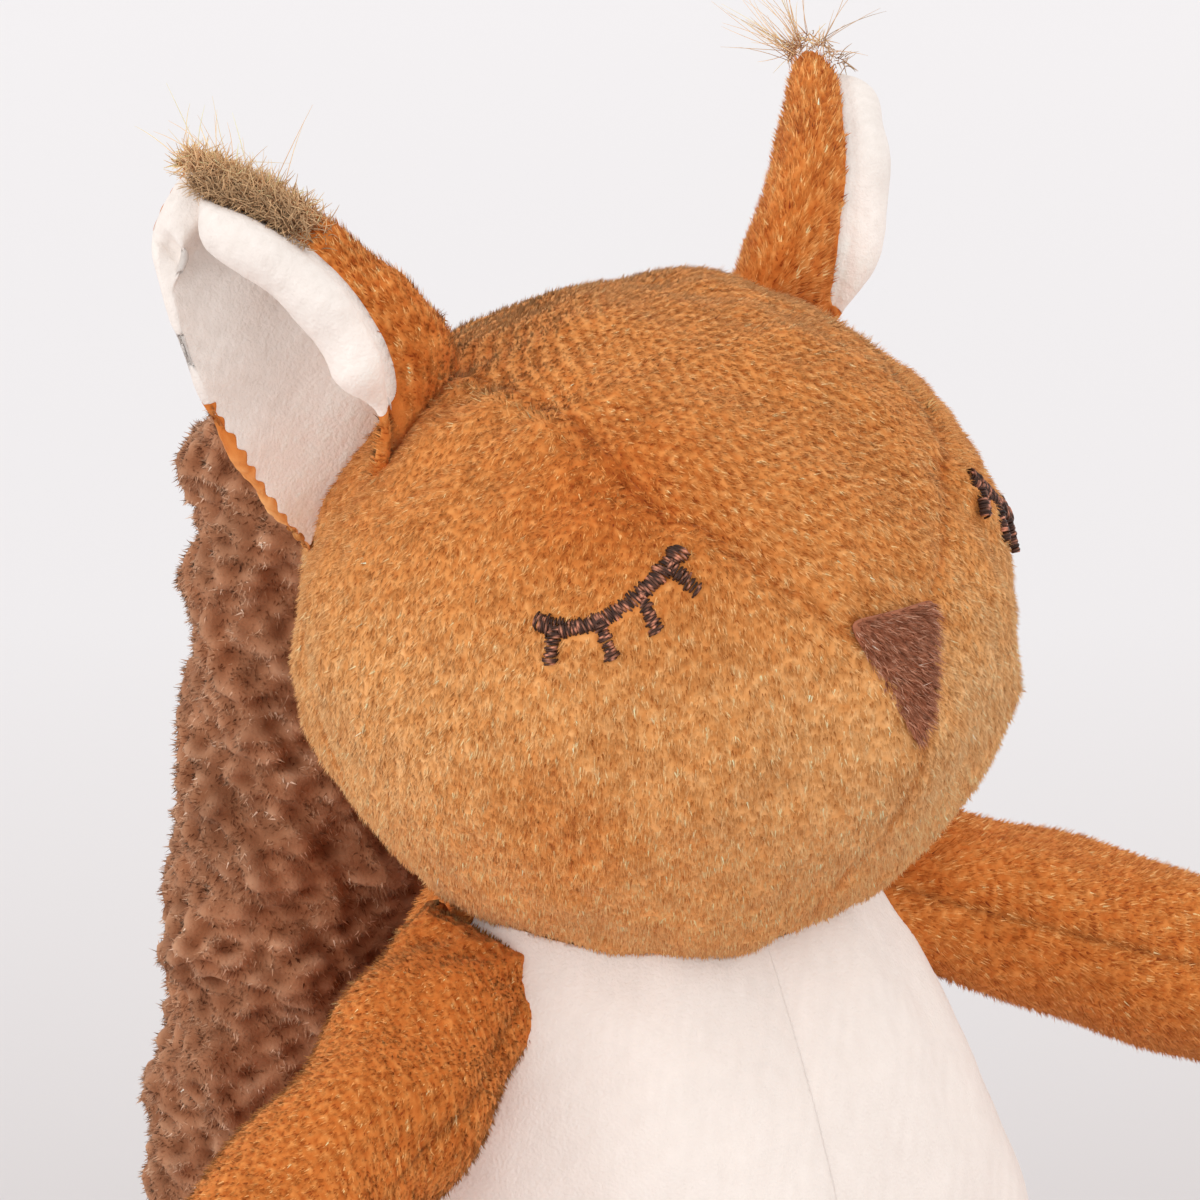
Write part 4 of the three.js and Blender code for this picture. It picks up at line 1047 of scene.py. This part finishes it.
def ear_skin(ear):
    """The closed leaf of an ear: points, triangles, and how far into the lining each point lies.

    Round each row run the back from the outer to the inner edge, a puffed lip beyond that edge, and the lining.
    """
    rows, flat, roll = 180, 70, 30
    u = np.linspace(-0.13, 1, rows)
    outer = np.linspace(0.12, math.pi - 0.3, flat)
    lip = np.linspace(0.85 * math.pi, -0.85 * math.pi, roll)
    v = EAR_REACH * np.concatenate([(1 + np.cos(outer)) / 2, np.zeros(roll), (1 + np.cos(outer[::-1])) / 2])
    skin = np.concatenate([-1.5 * np.sin(outer) ** 0.6, np.zeros(roll), 1.3 * np.sin(outer[::-1]) ** 0.6])
    beyond = np.concatenate([np.zeros(flat), 2.5 + 2.8 * np.cos(lip), np.zeros(flat)])
    puff = np.concatenate([np.zeros(flat), 0.4 - 2.8 * np.sin(lip), 1.6 * np.exp(-v[flat + roll:] / 0.05)])
    edge_beyond = np.concatenate([np.zeros(flat), 0.6 + 0.65 * np.cos(lip), np.zeros(flat)])
    edge_puff = np.concatenate([np.zeros(flat), -0.65 * np.sin(lip), np.zeros(flat)])
    columns = len(v)
    uu, k = (a.ravel() for a in np.meshgrid(u, np.arange(columns), indexing="ij"))
    taper = np.sqrt(np.clip(1 - np.clip(uu, 0, 1) ** 10, 0.02, 1))
    close = np.sqrt(np.clip(1 - np.clip(uu, 0, 1) ** 40, 0.02, 1))
    full = smooth_step(0.02, 0.34, uu) * close
    ledge = 2.2 * smooth_step(0.8, 0.88, uu - 0.05 * v[k]) * close * (k >= flat + roll) * np.minimum(8 * (1 - v[k]), 1)
    away = skin[k] * taper + puff[k] * full + edge_puff[k] * (1 - full) + ledge
    points = ear.at(uu, v[k]) + ear.facing(uu, v[k]) * away[:, None]
    points = points - ear.over(uu, v[k]) * (beyond[k] * full + edge_beyond[k] * (1 - full))[:, None]
    tris = grid_tris(rows, columns, True)
    end = (rows - 1) * columns
    a = end + np.arange(columns // 2 - 1)
    b = end + columns - 1 - np.arange(columns // 2 - 1)
    tris = np.vstack([tris, np.stack([a, a + 1, b - 1], 1), np.stack([a, b - 1, b], 1)])
    tris = outward(points, tris)
    points = points + vertex_normals(points, tris) * (0.2 * waves(points, 8, 51))[:, None]
    wrap = 0.16 * smooth_step(0.48, 0.53, uu) - 0.014 + 0.007 * np.sin(115 * uu)
    front = np.where(k >= flat + roll, (EAR_REACH - v[k] + wrap) * 20, (uu - 0.1) * 40)
    inside = np.where(k < flat, np.maximum((v[k] - EAR_REACH + wrap) * 20, k - flat + 0.5), front)
    return points, tris, inside


class SQUIRREL_OT_ears(bpy.types.Operator):
    """Sew both ears and set their tufts of fur"""
    bl_idname = "squirrel.ears"
    bl_label = "Ears"

    def execute(self, context):
        settings = context.scene.squirrel
        russet, cream = linear(settings.russet), linear(settings.cream)
        back_plush = fibre("ear_back_plush", russet)
        lining_plush = fibre("ear_lining_plush", cream, sheen=0.2)
        fur = fibre("ear_fur", linear(settings.fur), 0.6, 0.1)
        length, width = settings.pile_length / MM, settings.pile_width / MM
        back_pile = Pile(9, 1.2 * length, 1.1 * width)
        lining_pile = Pile(0, length, width, grain=1.4, stretch=(1, 1, 0.6), patch=0.006, relief=0.25)
        for label, side in SIDES:
            ear = Ear(side)
            points, tris, inside = ear_skin(ear)
            edge = (smooth_step(-1.2, -0.3, inside) * smooth_step(0, 8, (points - ear.chord) @ ear.axes[1]))[:, None]
            back_shade = russet * (1 - edge) + 1.1 * linear(settings.tan) * edge
            height = (points - ear.chord) @ ear.axes[0]
            # Painted shade: the lining is darker in the hollow high in the ear and paler low down
            lining_painted_shade = cream * (0.92 + 0.13 * smooth_step(17, 8, height))[:, None]
            outside = head_distance(points)[0] + 0.8
            hold = Hold("head", f"ear_{label}", ear.base - 0.5 * ear.rise, ear.base + 7 * ear.rise)
            seed = 300 if side < 0 else 350
            for part, value, slot, cloth, pile, shade in (
                    ("back", -inside, "russet_plush", back_plush, back_pile, back_shade),
                    ("lining", inside, "cream_plush", lining_plush, lining_pile, lining_painted_shade)):
                name = f"ear_{label}_{part}"
                skin = plush(points, tris, pile, shade, seed)
                cover, faces = cut(skin, tris, np.minimum(value, outside))
                add_panel(name, cover, faces, hold, slot, cloth, 0.25 * settings.fabric)
                if part == "back":
                    clear = np.minimum(outside, height.max() - 2.5 - height)
                    cover, faces = cut(skin, tris, np.minimum(value - 1.2, clear))
                    grow(name + "_pile", cover, faces, pile, combed(ear.rise), hold, slot, cloth, seed)
                seed += 10
            points, tris, shades = ear_fur(ear, settings, seed, label == "right")
            piece = mesh_object(f"ear_{label}_fur", points, tris, fur, shades)
            Hold(f"ear_{label}").take(piece, "ear_fur")
            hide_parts(f"ear_{label}_tuft")
        return {"FINISHED"}


def ear_fur(ear, settings, seed, full):
    """A matted cap of fur over the outside of an ear's fold, with loose wisps: points, triangles and shades.

    A full cap runs down half of the fold, the other one is worn down to the tip.
    """
    rng = np.random.default_rng(seed)
    root, tip = linear(settings.fur_root), linear(settings.fur)
    low, matted, bundles = (0.66, 6000, 2) if full else (0.965, 160, 2)
    loose = 14 * bundles
    share = rng.beta(2.2, 1.5, matted)
    u = np.concatenate([low + (1.03 - low) * share,
                        np.repeat(rng.uniform(0.7 * low + 0.3, 1.0, bundles), 14), low + (1.03 - low) * rng.beta(3, 1, loose)])
    v = np.concatenate([rng.uniform(0.0, 0.36, matted),
                        np.repeat(rng.uniform(0.2, 0.36, bundles), 14), rng.uniform(0.12, 0.4, loose)])
    count = len(u)
    wisp = np.arange(count) >= matted
    u = u + 0.012 * rng.normal(size=count)
    facing, up, across = ear.facing(u, v), ear.up(u, v), ear.over(u, v)
    bulk = np.concatenate([1.1 * np.sqrt(share * (1 - share)), np.full(count - matted, 0.2)])
    base = ear.at(u, v) - (1.2 + bulk * rng.uniform(0, 1.7, count))[:, None] * facing
    length = np.where(wisp, rng.uniform(4, 9, count), rng.uniform(0.6, 1.7, count))[:, None]
    sway = rng.normal(size=(count, 3))
    sway[matted:matted + 14 * bundles] = np.repeat(0.6 * rng.normal(size=(bundles, 3)), 14, 0)
    lift, ahead, spread = (np.where(wisp, a, b)[:, None] for a, b in ((0.75, 0.05), (0.45, 0.5), (0.3, 0.8)))
    way = unit(-lift * facing + ahead * up - 0.1 * across + spread * sway)
    way = unit(way + np.where(wisp, 0.06, 0.0)[:, None] * rng.normal(size=(count, 3)))
    bend = unit(rng.normal(size=(count, 3))) * length * np.where(wisp, 0.25, 0.8)[:, None]
    s = np.linspace(0, 1, 6)[None, :, None]
    paths = base[:, None] + (way * length)[:, None] * s + bend[:, None] * s ** 2
    thick = np.where(wisp, 0.045, 0.065)[:, None] * np.array([1.0, 1.0, 0.95, 0.85, 0.65, 0.3])
    shadow = 0.5 * np.exp(-(v / 0.1) ** 2) * ~wisp
    tone = np.exp(rng.normal(size=(count, 1, 1)) * 0.22 - shadow[:, None, None])
    mix = np.array([0, 0.5, 0.85, 1, 1, 1])[None, :, None]
    return threads(paths, thick, (root + (tip - root) * mix) * tone, 3)


class SQUIRREL_OT_arms(bpy.types.Operator):
    """Sew both arms from a top and an under panel"""
    bl_idname = "squirrel.arms"
    bl_label = "Arms"

    def execute(self, context):
        settings = context.scene.squirrel
        russet = linear(settings.russet)
        plain = fibre("arm_plush", russet)
        pile = Pile(8, 1.1 * settings.pile_length / MM, 1.1 * settings.pile_width / MM)
        for label, side in SIDES:
            root, hinge = joint_of(f"arm_{label}_raise")
            aim = head_direction(side, *ARM_AIM)
            path = bezier([root - LIMB_TUCK * aim, root + ARM_LENGTH / 2 * aim,
                           root + ARM_LENGTH * aim - ARM_DROOP * Z], np.linspace(0, 1, 200))
            upright = unit(Z - (Z @ aim) * aim)
            hold = Hold("torso", f"arm_{label}", root - 1 * aim, root + 13 * aim)
            half = lambda u: through(*ARM_WIDTHS, u) / 2 - PILE_DEPTH

            core, faces = tube(path[34:-6], lambda u: (half(u) - WADDING_INSET,) * 2, Z, 1.5)
            core = drawn_in_root(core, root, aim, upright)
            core = clear_of_head(core, root, hinge, ARM_LIMITS, HEAD_ROOM + 0.3 + WADDING_INSET)
            add_wadding(f"arm_{label}_stuffing", core, faces, hold, settings)

            points, tris = tube(path, lambda u: (half(u),) * 2, Z, 0.42)
            points = drawn_in_root(points, root, aim, upright)
            normal = turned(upright, aim, -side * ARM_SEAM_TILT)
            split = (points - root) @ normal
            normals = vertex_normals(points, tris)
            depth = seam(np.abs(split), settings)
            gather = np.exp(-np.maximum((points - root) @ aim, 0) / 5)
            turn = np.arctan2((points - root) @ np.cross(aim, upright), (points - root) @ upright)
            pucker = 0.25 * gather * np.sin(6 * turn + 2 * waves(points, 20, 61))
            lumps = 0.35 * waves(points, 15, 62 if side < 0 else 63)
            points = points + normals * np.maximum(lumps + pucker - depth, PILE_DEPTH - MOST_SINK)[:, None]
            points = clear_of_head(points, root, hinge, ARM_LIMITS, HEAD_ROOM)
            # Painted shade darkens the plush along the seam's groove
            shade = russet * (1 - 0.3 * np.exp(-(split / 0.5) ** 2))[:, None]
            skin = plush(points, tris, pile, shade, 400 if side < 0 else 450)
            outside = torso_distance(points) + 0.5
            for k, (part, value) in enumerate((("top", split), ("under", -split))):
                name = f"arm_{label}_{part}_panel"
                cover, faces = cut(skin, tris, np.minimum(value, outside))
                add_panel(name, cover, faces, hold, "russet_plush", plain, settings.fabric)
                grow(name.replace("_panel", "_pile"), cover, faces, pile, combed(aim), hold, "russet_plush", plain,
                     400 + 10 * k + (0 if side < 0 else 50))
        return {"FINISHED"}


def drawn_in_root(points, root, aim, upright):
    """An arm's points with its root drawn in, and the top of the root drawn back along the torso."""
    rel = points - root
    near = np.exp(-np.maximum(rel @ aim, 0) / 9)[:, None]
    along = (rel @ aim)[:, None] * aim
    height = np.maximum(rel @ upright + 4, 0)[:, None]
    backward = unit(Y - (Y @ aim) * aim)
    return root + along + (rel - along) * (1 - 0.14 * near) + 0.42 * near * height * backward


def clear_of_head(points, root, hinge, limits, room):
    """Points of a limb pressed out of the head, with the limb at rest and at its limits."""
    for raised in limits:
        for nod in (8.0, -5.0, 0.0):
            there = turned(points - root, hinge, raised) + root
            there = turned(there - NECK_PIVOT, X, -nod) + NECK_PIVOT
            gap, out = head_distance(there)
            there = there + out * np.maximum(room - gap, 0)[:, None]
            there = turned(there - NECK_PIVOT, X, nod) + NECK_PIVOT
            points = turned(there - root, hinge, -raised) + root
    return points


class SQUIRREL_OT_legs(bpy.types.Operator):
    """Sew both legs from an outer and an inner panel"""
    bl_idname = "squirrel.legs"
    bl_label = "Legs"

    def execute(self, context):
        settings = context.scene.squirrel
        russet = linear(settings.russet)
        plain = fibre("leg_plush", russet)
        pile = Pile(5, 1.2 * settings.pile_length / MM, 1.3 * settings.pile_width / MM)
        for label, side in SIDES:
            root, hinge = joint_of(f"leg_{label}_lift")
            aim = unit(np.cross(Z, hinge) * [1, 1, 0])
            aim = aim * np.sign(aim @ -Y)
            places = [root * [1, 1, 0] + aim * d + Z * h for d, h in LEG_PLACES]
            path = spline(places, 60, True)
            across = unit(np.cross(aim, Z))
            size = lambda u: (through(*LEG_WIDTHS, u) / 2 - PILE_DEPTH,) * 2
            hold = Hold("torso", f"leg_{label}", root - 1 * aim, root + 16 * aim)
            core, faces = tube(path[24:-5], lambda u: (size(u)[0] - WADDING_INSET,) * 2, across, 1.5)
            core[:, 2] = np.maximum(core[:, 2], LEG_WADDING_FLOOR)
            add_wadding(f"leg_{label}_stuffing", core, faces, hold, settings)
            points, tris = tube(path, size, across, 0.5)
            split = (points - root) @ (across * np.sign(across[0]) * side)
            normals = vertex_normals(points, tris)
            depth = seam(np.abs(split), settings)
            lumps = 0.4 * waves(points, 16, 72 if side < 0 else 73)
            points = points + normals * np.maximum(lumps - depth, PILE_DEPTH - MOST_SINK)[:, None]
            points[:, 2] = np.where(points[:, 2] < 3, 0.9 + 2.1 * np.exp((points[:, 2] - 3) / 2.1), points[:, 2])
            skin = plush(points, tris, pile, np.tile(russet, (len(points), 1)), 500 if side < 0 else 550)
            skin[:, 2] = np.maximum(skin[:, 2], LEG_FLOOR)
            outside = torso_distance(points) + 0.5
            for k, (part, value) in enumerate((("outer", split), ("inner", -split))):
                name = f"leg_{label}_{part}_panel"
                cover, faces = cut(skin, tris, np.minimum(value, outside))
                add_panel(name, cover, faces, hold, "russet_plush", plain, settings.fabric)
                grow(name.replace("_panel", "_pile"), cover, faces, pile, combed(aim), hold, "russet_plush", plain,
                     500 + 10 * k + (0 if side < 0 else 50))
        return {"FINISHED"}


class SQUIRREL_OT_torso(bpy.types.Operator):
    """Sew the torso from its belly, back and seat panels"""
    bl_idname = "squirrel.torso"
    bl_label = "Torso"

    def execute(self, context):
        settings = context.scene.squirrel
        russet, cream = linear(settings.russet), linear(settings.cream)
        back_plush = fibre("back_plush", russet)
        belly_plush = fibre("belly_plush", cream, sheen=0.2)
        length, width = settings.pile_length / MM, settings.pile_width / MM
        back_pile = Pile(5, 1.2 * length, 1.4 * width)
        belly_pile = Pile(0, length, width, grain=1.4, patch=0.004, relief=0.15)
        points, tris = torso_skin(settings)
        cloth = np.ones((len(points), 1))
        back_skin = plush(points, tris, back_pile, cloth * russet, 600)
        belly_skin = plush(points, tris, belly_pile, cloth * cream, 650)
        x, y, z = points.T
        free = head_distance(points)[0] + 0.6
        wall = np.minimum(z - SEAT_SEAM_AT, free)
        hold = Hold("torso")
        panels = (
            ("seat_panel", SEAT_SEAM_AT - z, False),
            ("belly_right_panel", np.minimum(wall, np.minimum(-y, -x)), True),
            ("belly_left_panel", np.minimum(wall, np.minimum(-y, x)), True),
            ("back_right_panel", np.minimum(wall, np.minimum(y, -x)), False),
            ("back_left_panel", np.minimum(wall, np.minimum(y, x)), False),
        )
        for i, (name, value, pale) in enumerate(panels):
            pile, skin, plain = (belly_pile, belly_skin, belly_plush) if pale else (back_pile, back_skin, back_plush)
            skin[:, 2] = np.maximum(skin[:, 2], 0)
            cover, faces = cut(skin, tris, value)
            slot = "cream_plush" if pale else "russet_plush"
            add_panel(name, cover, faces, hold, slot, plain, settings.fabric)
            if name.startswith("back"):
                grow(name.replace("_panel", "_pile"), cover, faces, pile, combed(-Z), hold, slot, plain, 600 + 10 * i)
        return {"FINISHED"}


def torso_skin(settings):
    """The whole torso: a pear that stands on a flat seat."""
    spacing = 0.65
    low = bezier(HAUNCH, np.linspace(0, 1, int(38 / spacing)))
    high = bezier(FLANK, np.linspace(0, 1, int(80 / spacing)))[1:]
    flat = np.stack([np.linspace(0.6, 35, int(35 / spacing)), np.zeros(int(35 / spacing))], 1)[:-1]
    side = np.vstack([flat, low, high])
    columns = int(2 * math.pi * 44 / spacing)
    turn = 2 * math.pi * np.arange(columns) / columns
    ring = np.stack([np.cos(turn), TORSO_FLAT * np.sin(turn)], 1)
    points = np.vstack([np.column_stack([half * ring, np.full(columns, height)]) for half, height in side])
    tris = outward(points, grid_tris(len(side), columns, True))
    normals = vertex_normals(points, tris)
    x, y, z = points.T
    seat = np.abs(z - SEAT_SEAM_AT) * smooth_step(0, 1.5, z) + 9 * smooth_step(1.5, 0, z)
    depth = np.maximum(seam(np.abs(x), settings), seam(np.abs(y), settings)) * smooth_step(2, 5, z)
    depth = np.maximum(depth, seam(seat, settings))
    lumps = (0.5 * waves(points, 24, 81) + 0.07 * waves(points, 9, 82)) * smooth_step(0, 6, z)
    sink = np.minimum(depth + PILE_DEPTH * smooth_step(0, 3, z) - lumps, MOST_SINK)
    return points - normals * sink[:, None], tris


class SQUIRREL_OT_tail(bpy.types.Operator):
    """Sew the tail of curly fleece"""
    bl_idname = "squirrel.tail"
    bl_label = "Tail"

    def execute(self, context):
        settings = context.scene.squirrel
        fleece = linear(settings.fleece)
        curls = fibre("fleece", fleece)
        root, hinge = joint_of("tail_tip")
        path = spline([root + Y * b + Z * h for b, h in TAIL_PLACES], 60, True)
        size = lambda u: (through(*TAIL_WIDTHS, u) / 2 - 0.5, through(*TAIL_THICKS, u) / 2 - 0.5)
        hold = Hold("torso", "tail", root, root + 16 * unit(Y + 0.7 * Z))
        inner = lambda u: tuple(half - TAIL_WADDING_INSET for half in size(u))
        core, faces = tube(path[26:-5], inner, Y, 1.5)
        core = clear_of_head(core, root, hinge, TAIL_LIMITS, HEAD_ROOM + TAIL_WADDING_INSET)
        add_wadding("tail_stuffing", core, faces, hold, settings)
        points, tris = tube(path, size, Y, 0.6)
        normals = vertex_normals(points, tris)
        lumps = 0.8 * waves(points, 13, 91) + 0.4 * waves(points, 7, 92) - 0.6 * seam(np.abs(points[:, 0]), settings)
        split = points[:, 0]
        points = points + normals * np.maximum(lumps, -0.9)[:, None]
        points = clear_of_head(points, root, hinge, TAIL_LIMITS, HEAD_ROOM)
        pile = Pile(7, 0.9, 0.24, lean=1.0, ruffle=0.9, clump=1.4, grain=2.7, stretch=(1, 1, 1), rise=0.5,
                    root=0.9, tip=1.1, patch=0.05, spread=0.15)
        skin = plush(points, tris, pile, np.tile(fleece, (len(points), 1)), 700)
        outside = torso_distance(points) + 0.5
        for k, (label, side) in enumerate(SIDES):
            name = f"tail_{label}_panel"
            cover, faces = cut(skin, tris, np.minimum(split * side, outside))
            add_panel(name, cover, faces, hold, "tail_fleece", curls, settings.fabric)
            grow(f"tail_{label}_pile", cover, faces, pile, combed(-Z), hold, "tail_fleece", curls, 700 + 10 * k)
        return {"FINISHED"}


class SQUIRREL_OT_stuffing(bpy.types.Operator):
    """Give every lump of stuffing its loose fibre"""
    bl_idname = "squirrel.stuffing"
    bl_label = "Stuffing"

    def execute(self, context):
        settings = context.scene.squirrel
        wadding = bpy.data.materials["wadding"]
        for name, node in frame["nodes"].items():
            if name.endswith("stuffing"):
                for place in node.material_slots:
                    place.material = wadding
        return {"FINISHED"}


class SQUIRREL_PT_sidebar(bpy.types.Panel):
    """The squirrel's pieces, sizes and colours"""
    bl_idname = "SQUIRREL_PT_sidebar"
    bl_label = "Squirrel"
    bl_space_type = "VIEW_3D"
    bl_region_type = "UI"
    bl_category = "Squirrel"

    def draw(self, context):
        for operator in OPERATORS:
            self.layout.operator(operator.bl_idname)
        for name in SquirrelSettings.__annotations__:
            self.layout.prop(context.scene.squirrel, name)


OPERATORS = (
    SQUIRREL_OT_stage,
    SQUIRREL_OT_torso,
    SQUIRREL_OT_head,
    SQUIRREL_OT_nose,
    SQUIRREL_OT_eyes,
    SQUIRREL_OT_ears,
    SQUIRREL_OT_arms,
    SQUIRREL_OT_legs,
    SQUIRREL_OT_tail,
    SQUIRREL_OT_stuffing,
)
CLASSES = (SquirrelSettings, *OPERATORS, SQUIRREL_PT_sidebar)


def register():
    for each in CLASSES:
        bpy.utils.register_class(each)
    bpy.types.Scene.squirrel = bpy.props.PointerProperty(type=SquirrelSettings)


def unregister():
    del bpy.types.Scene.squirrel
    for each in reversed(CLASSES):
        bpy.utils.unregister_class(each)


def main():
    register()
    for operator in OPERATORS:
        group, name = operator.bl_idname.split(".")
        getattr(getattr(bpy.ops, group), name)()


if __name__ == "__main__":
    main()
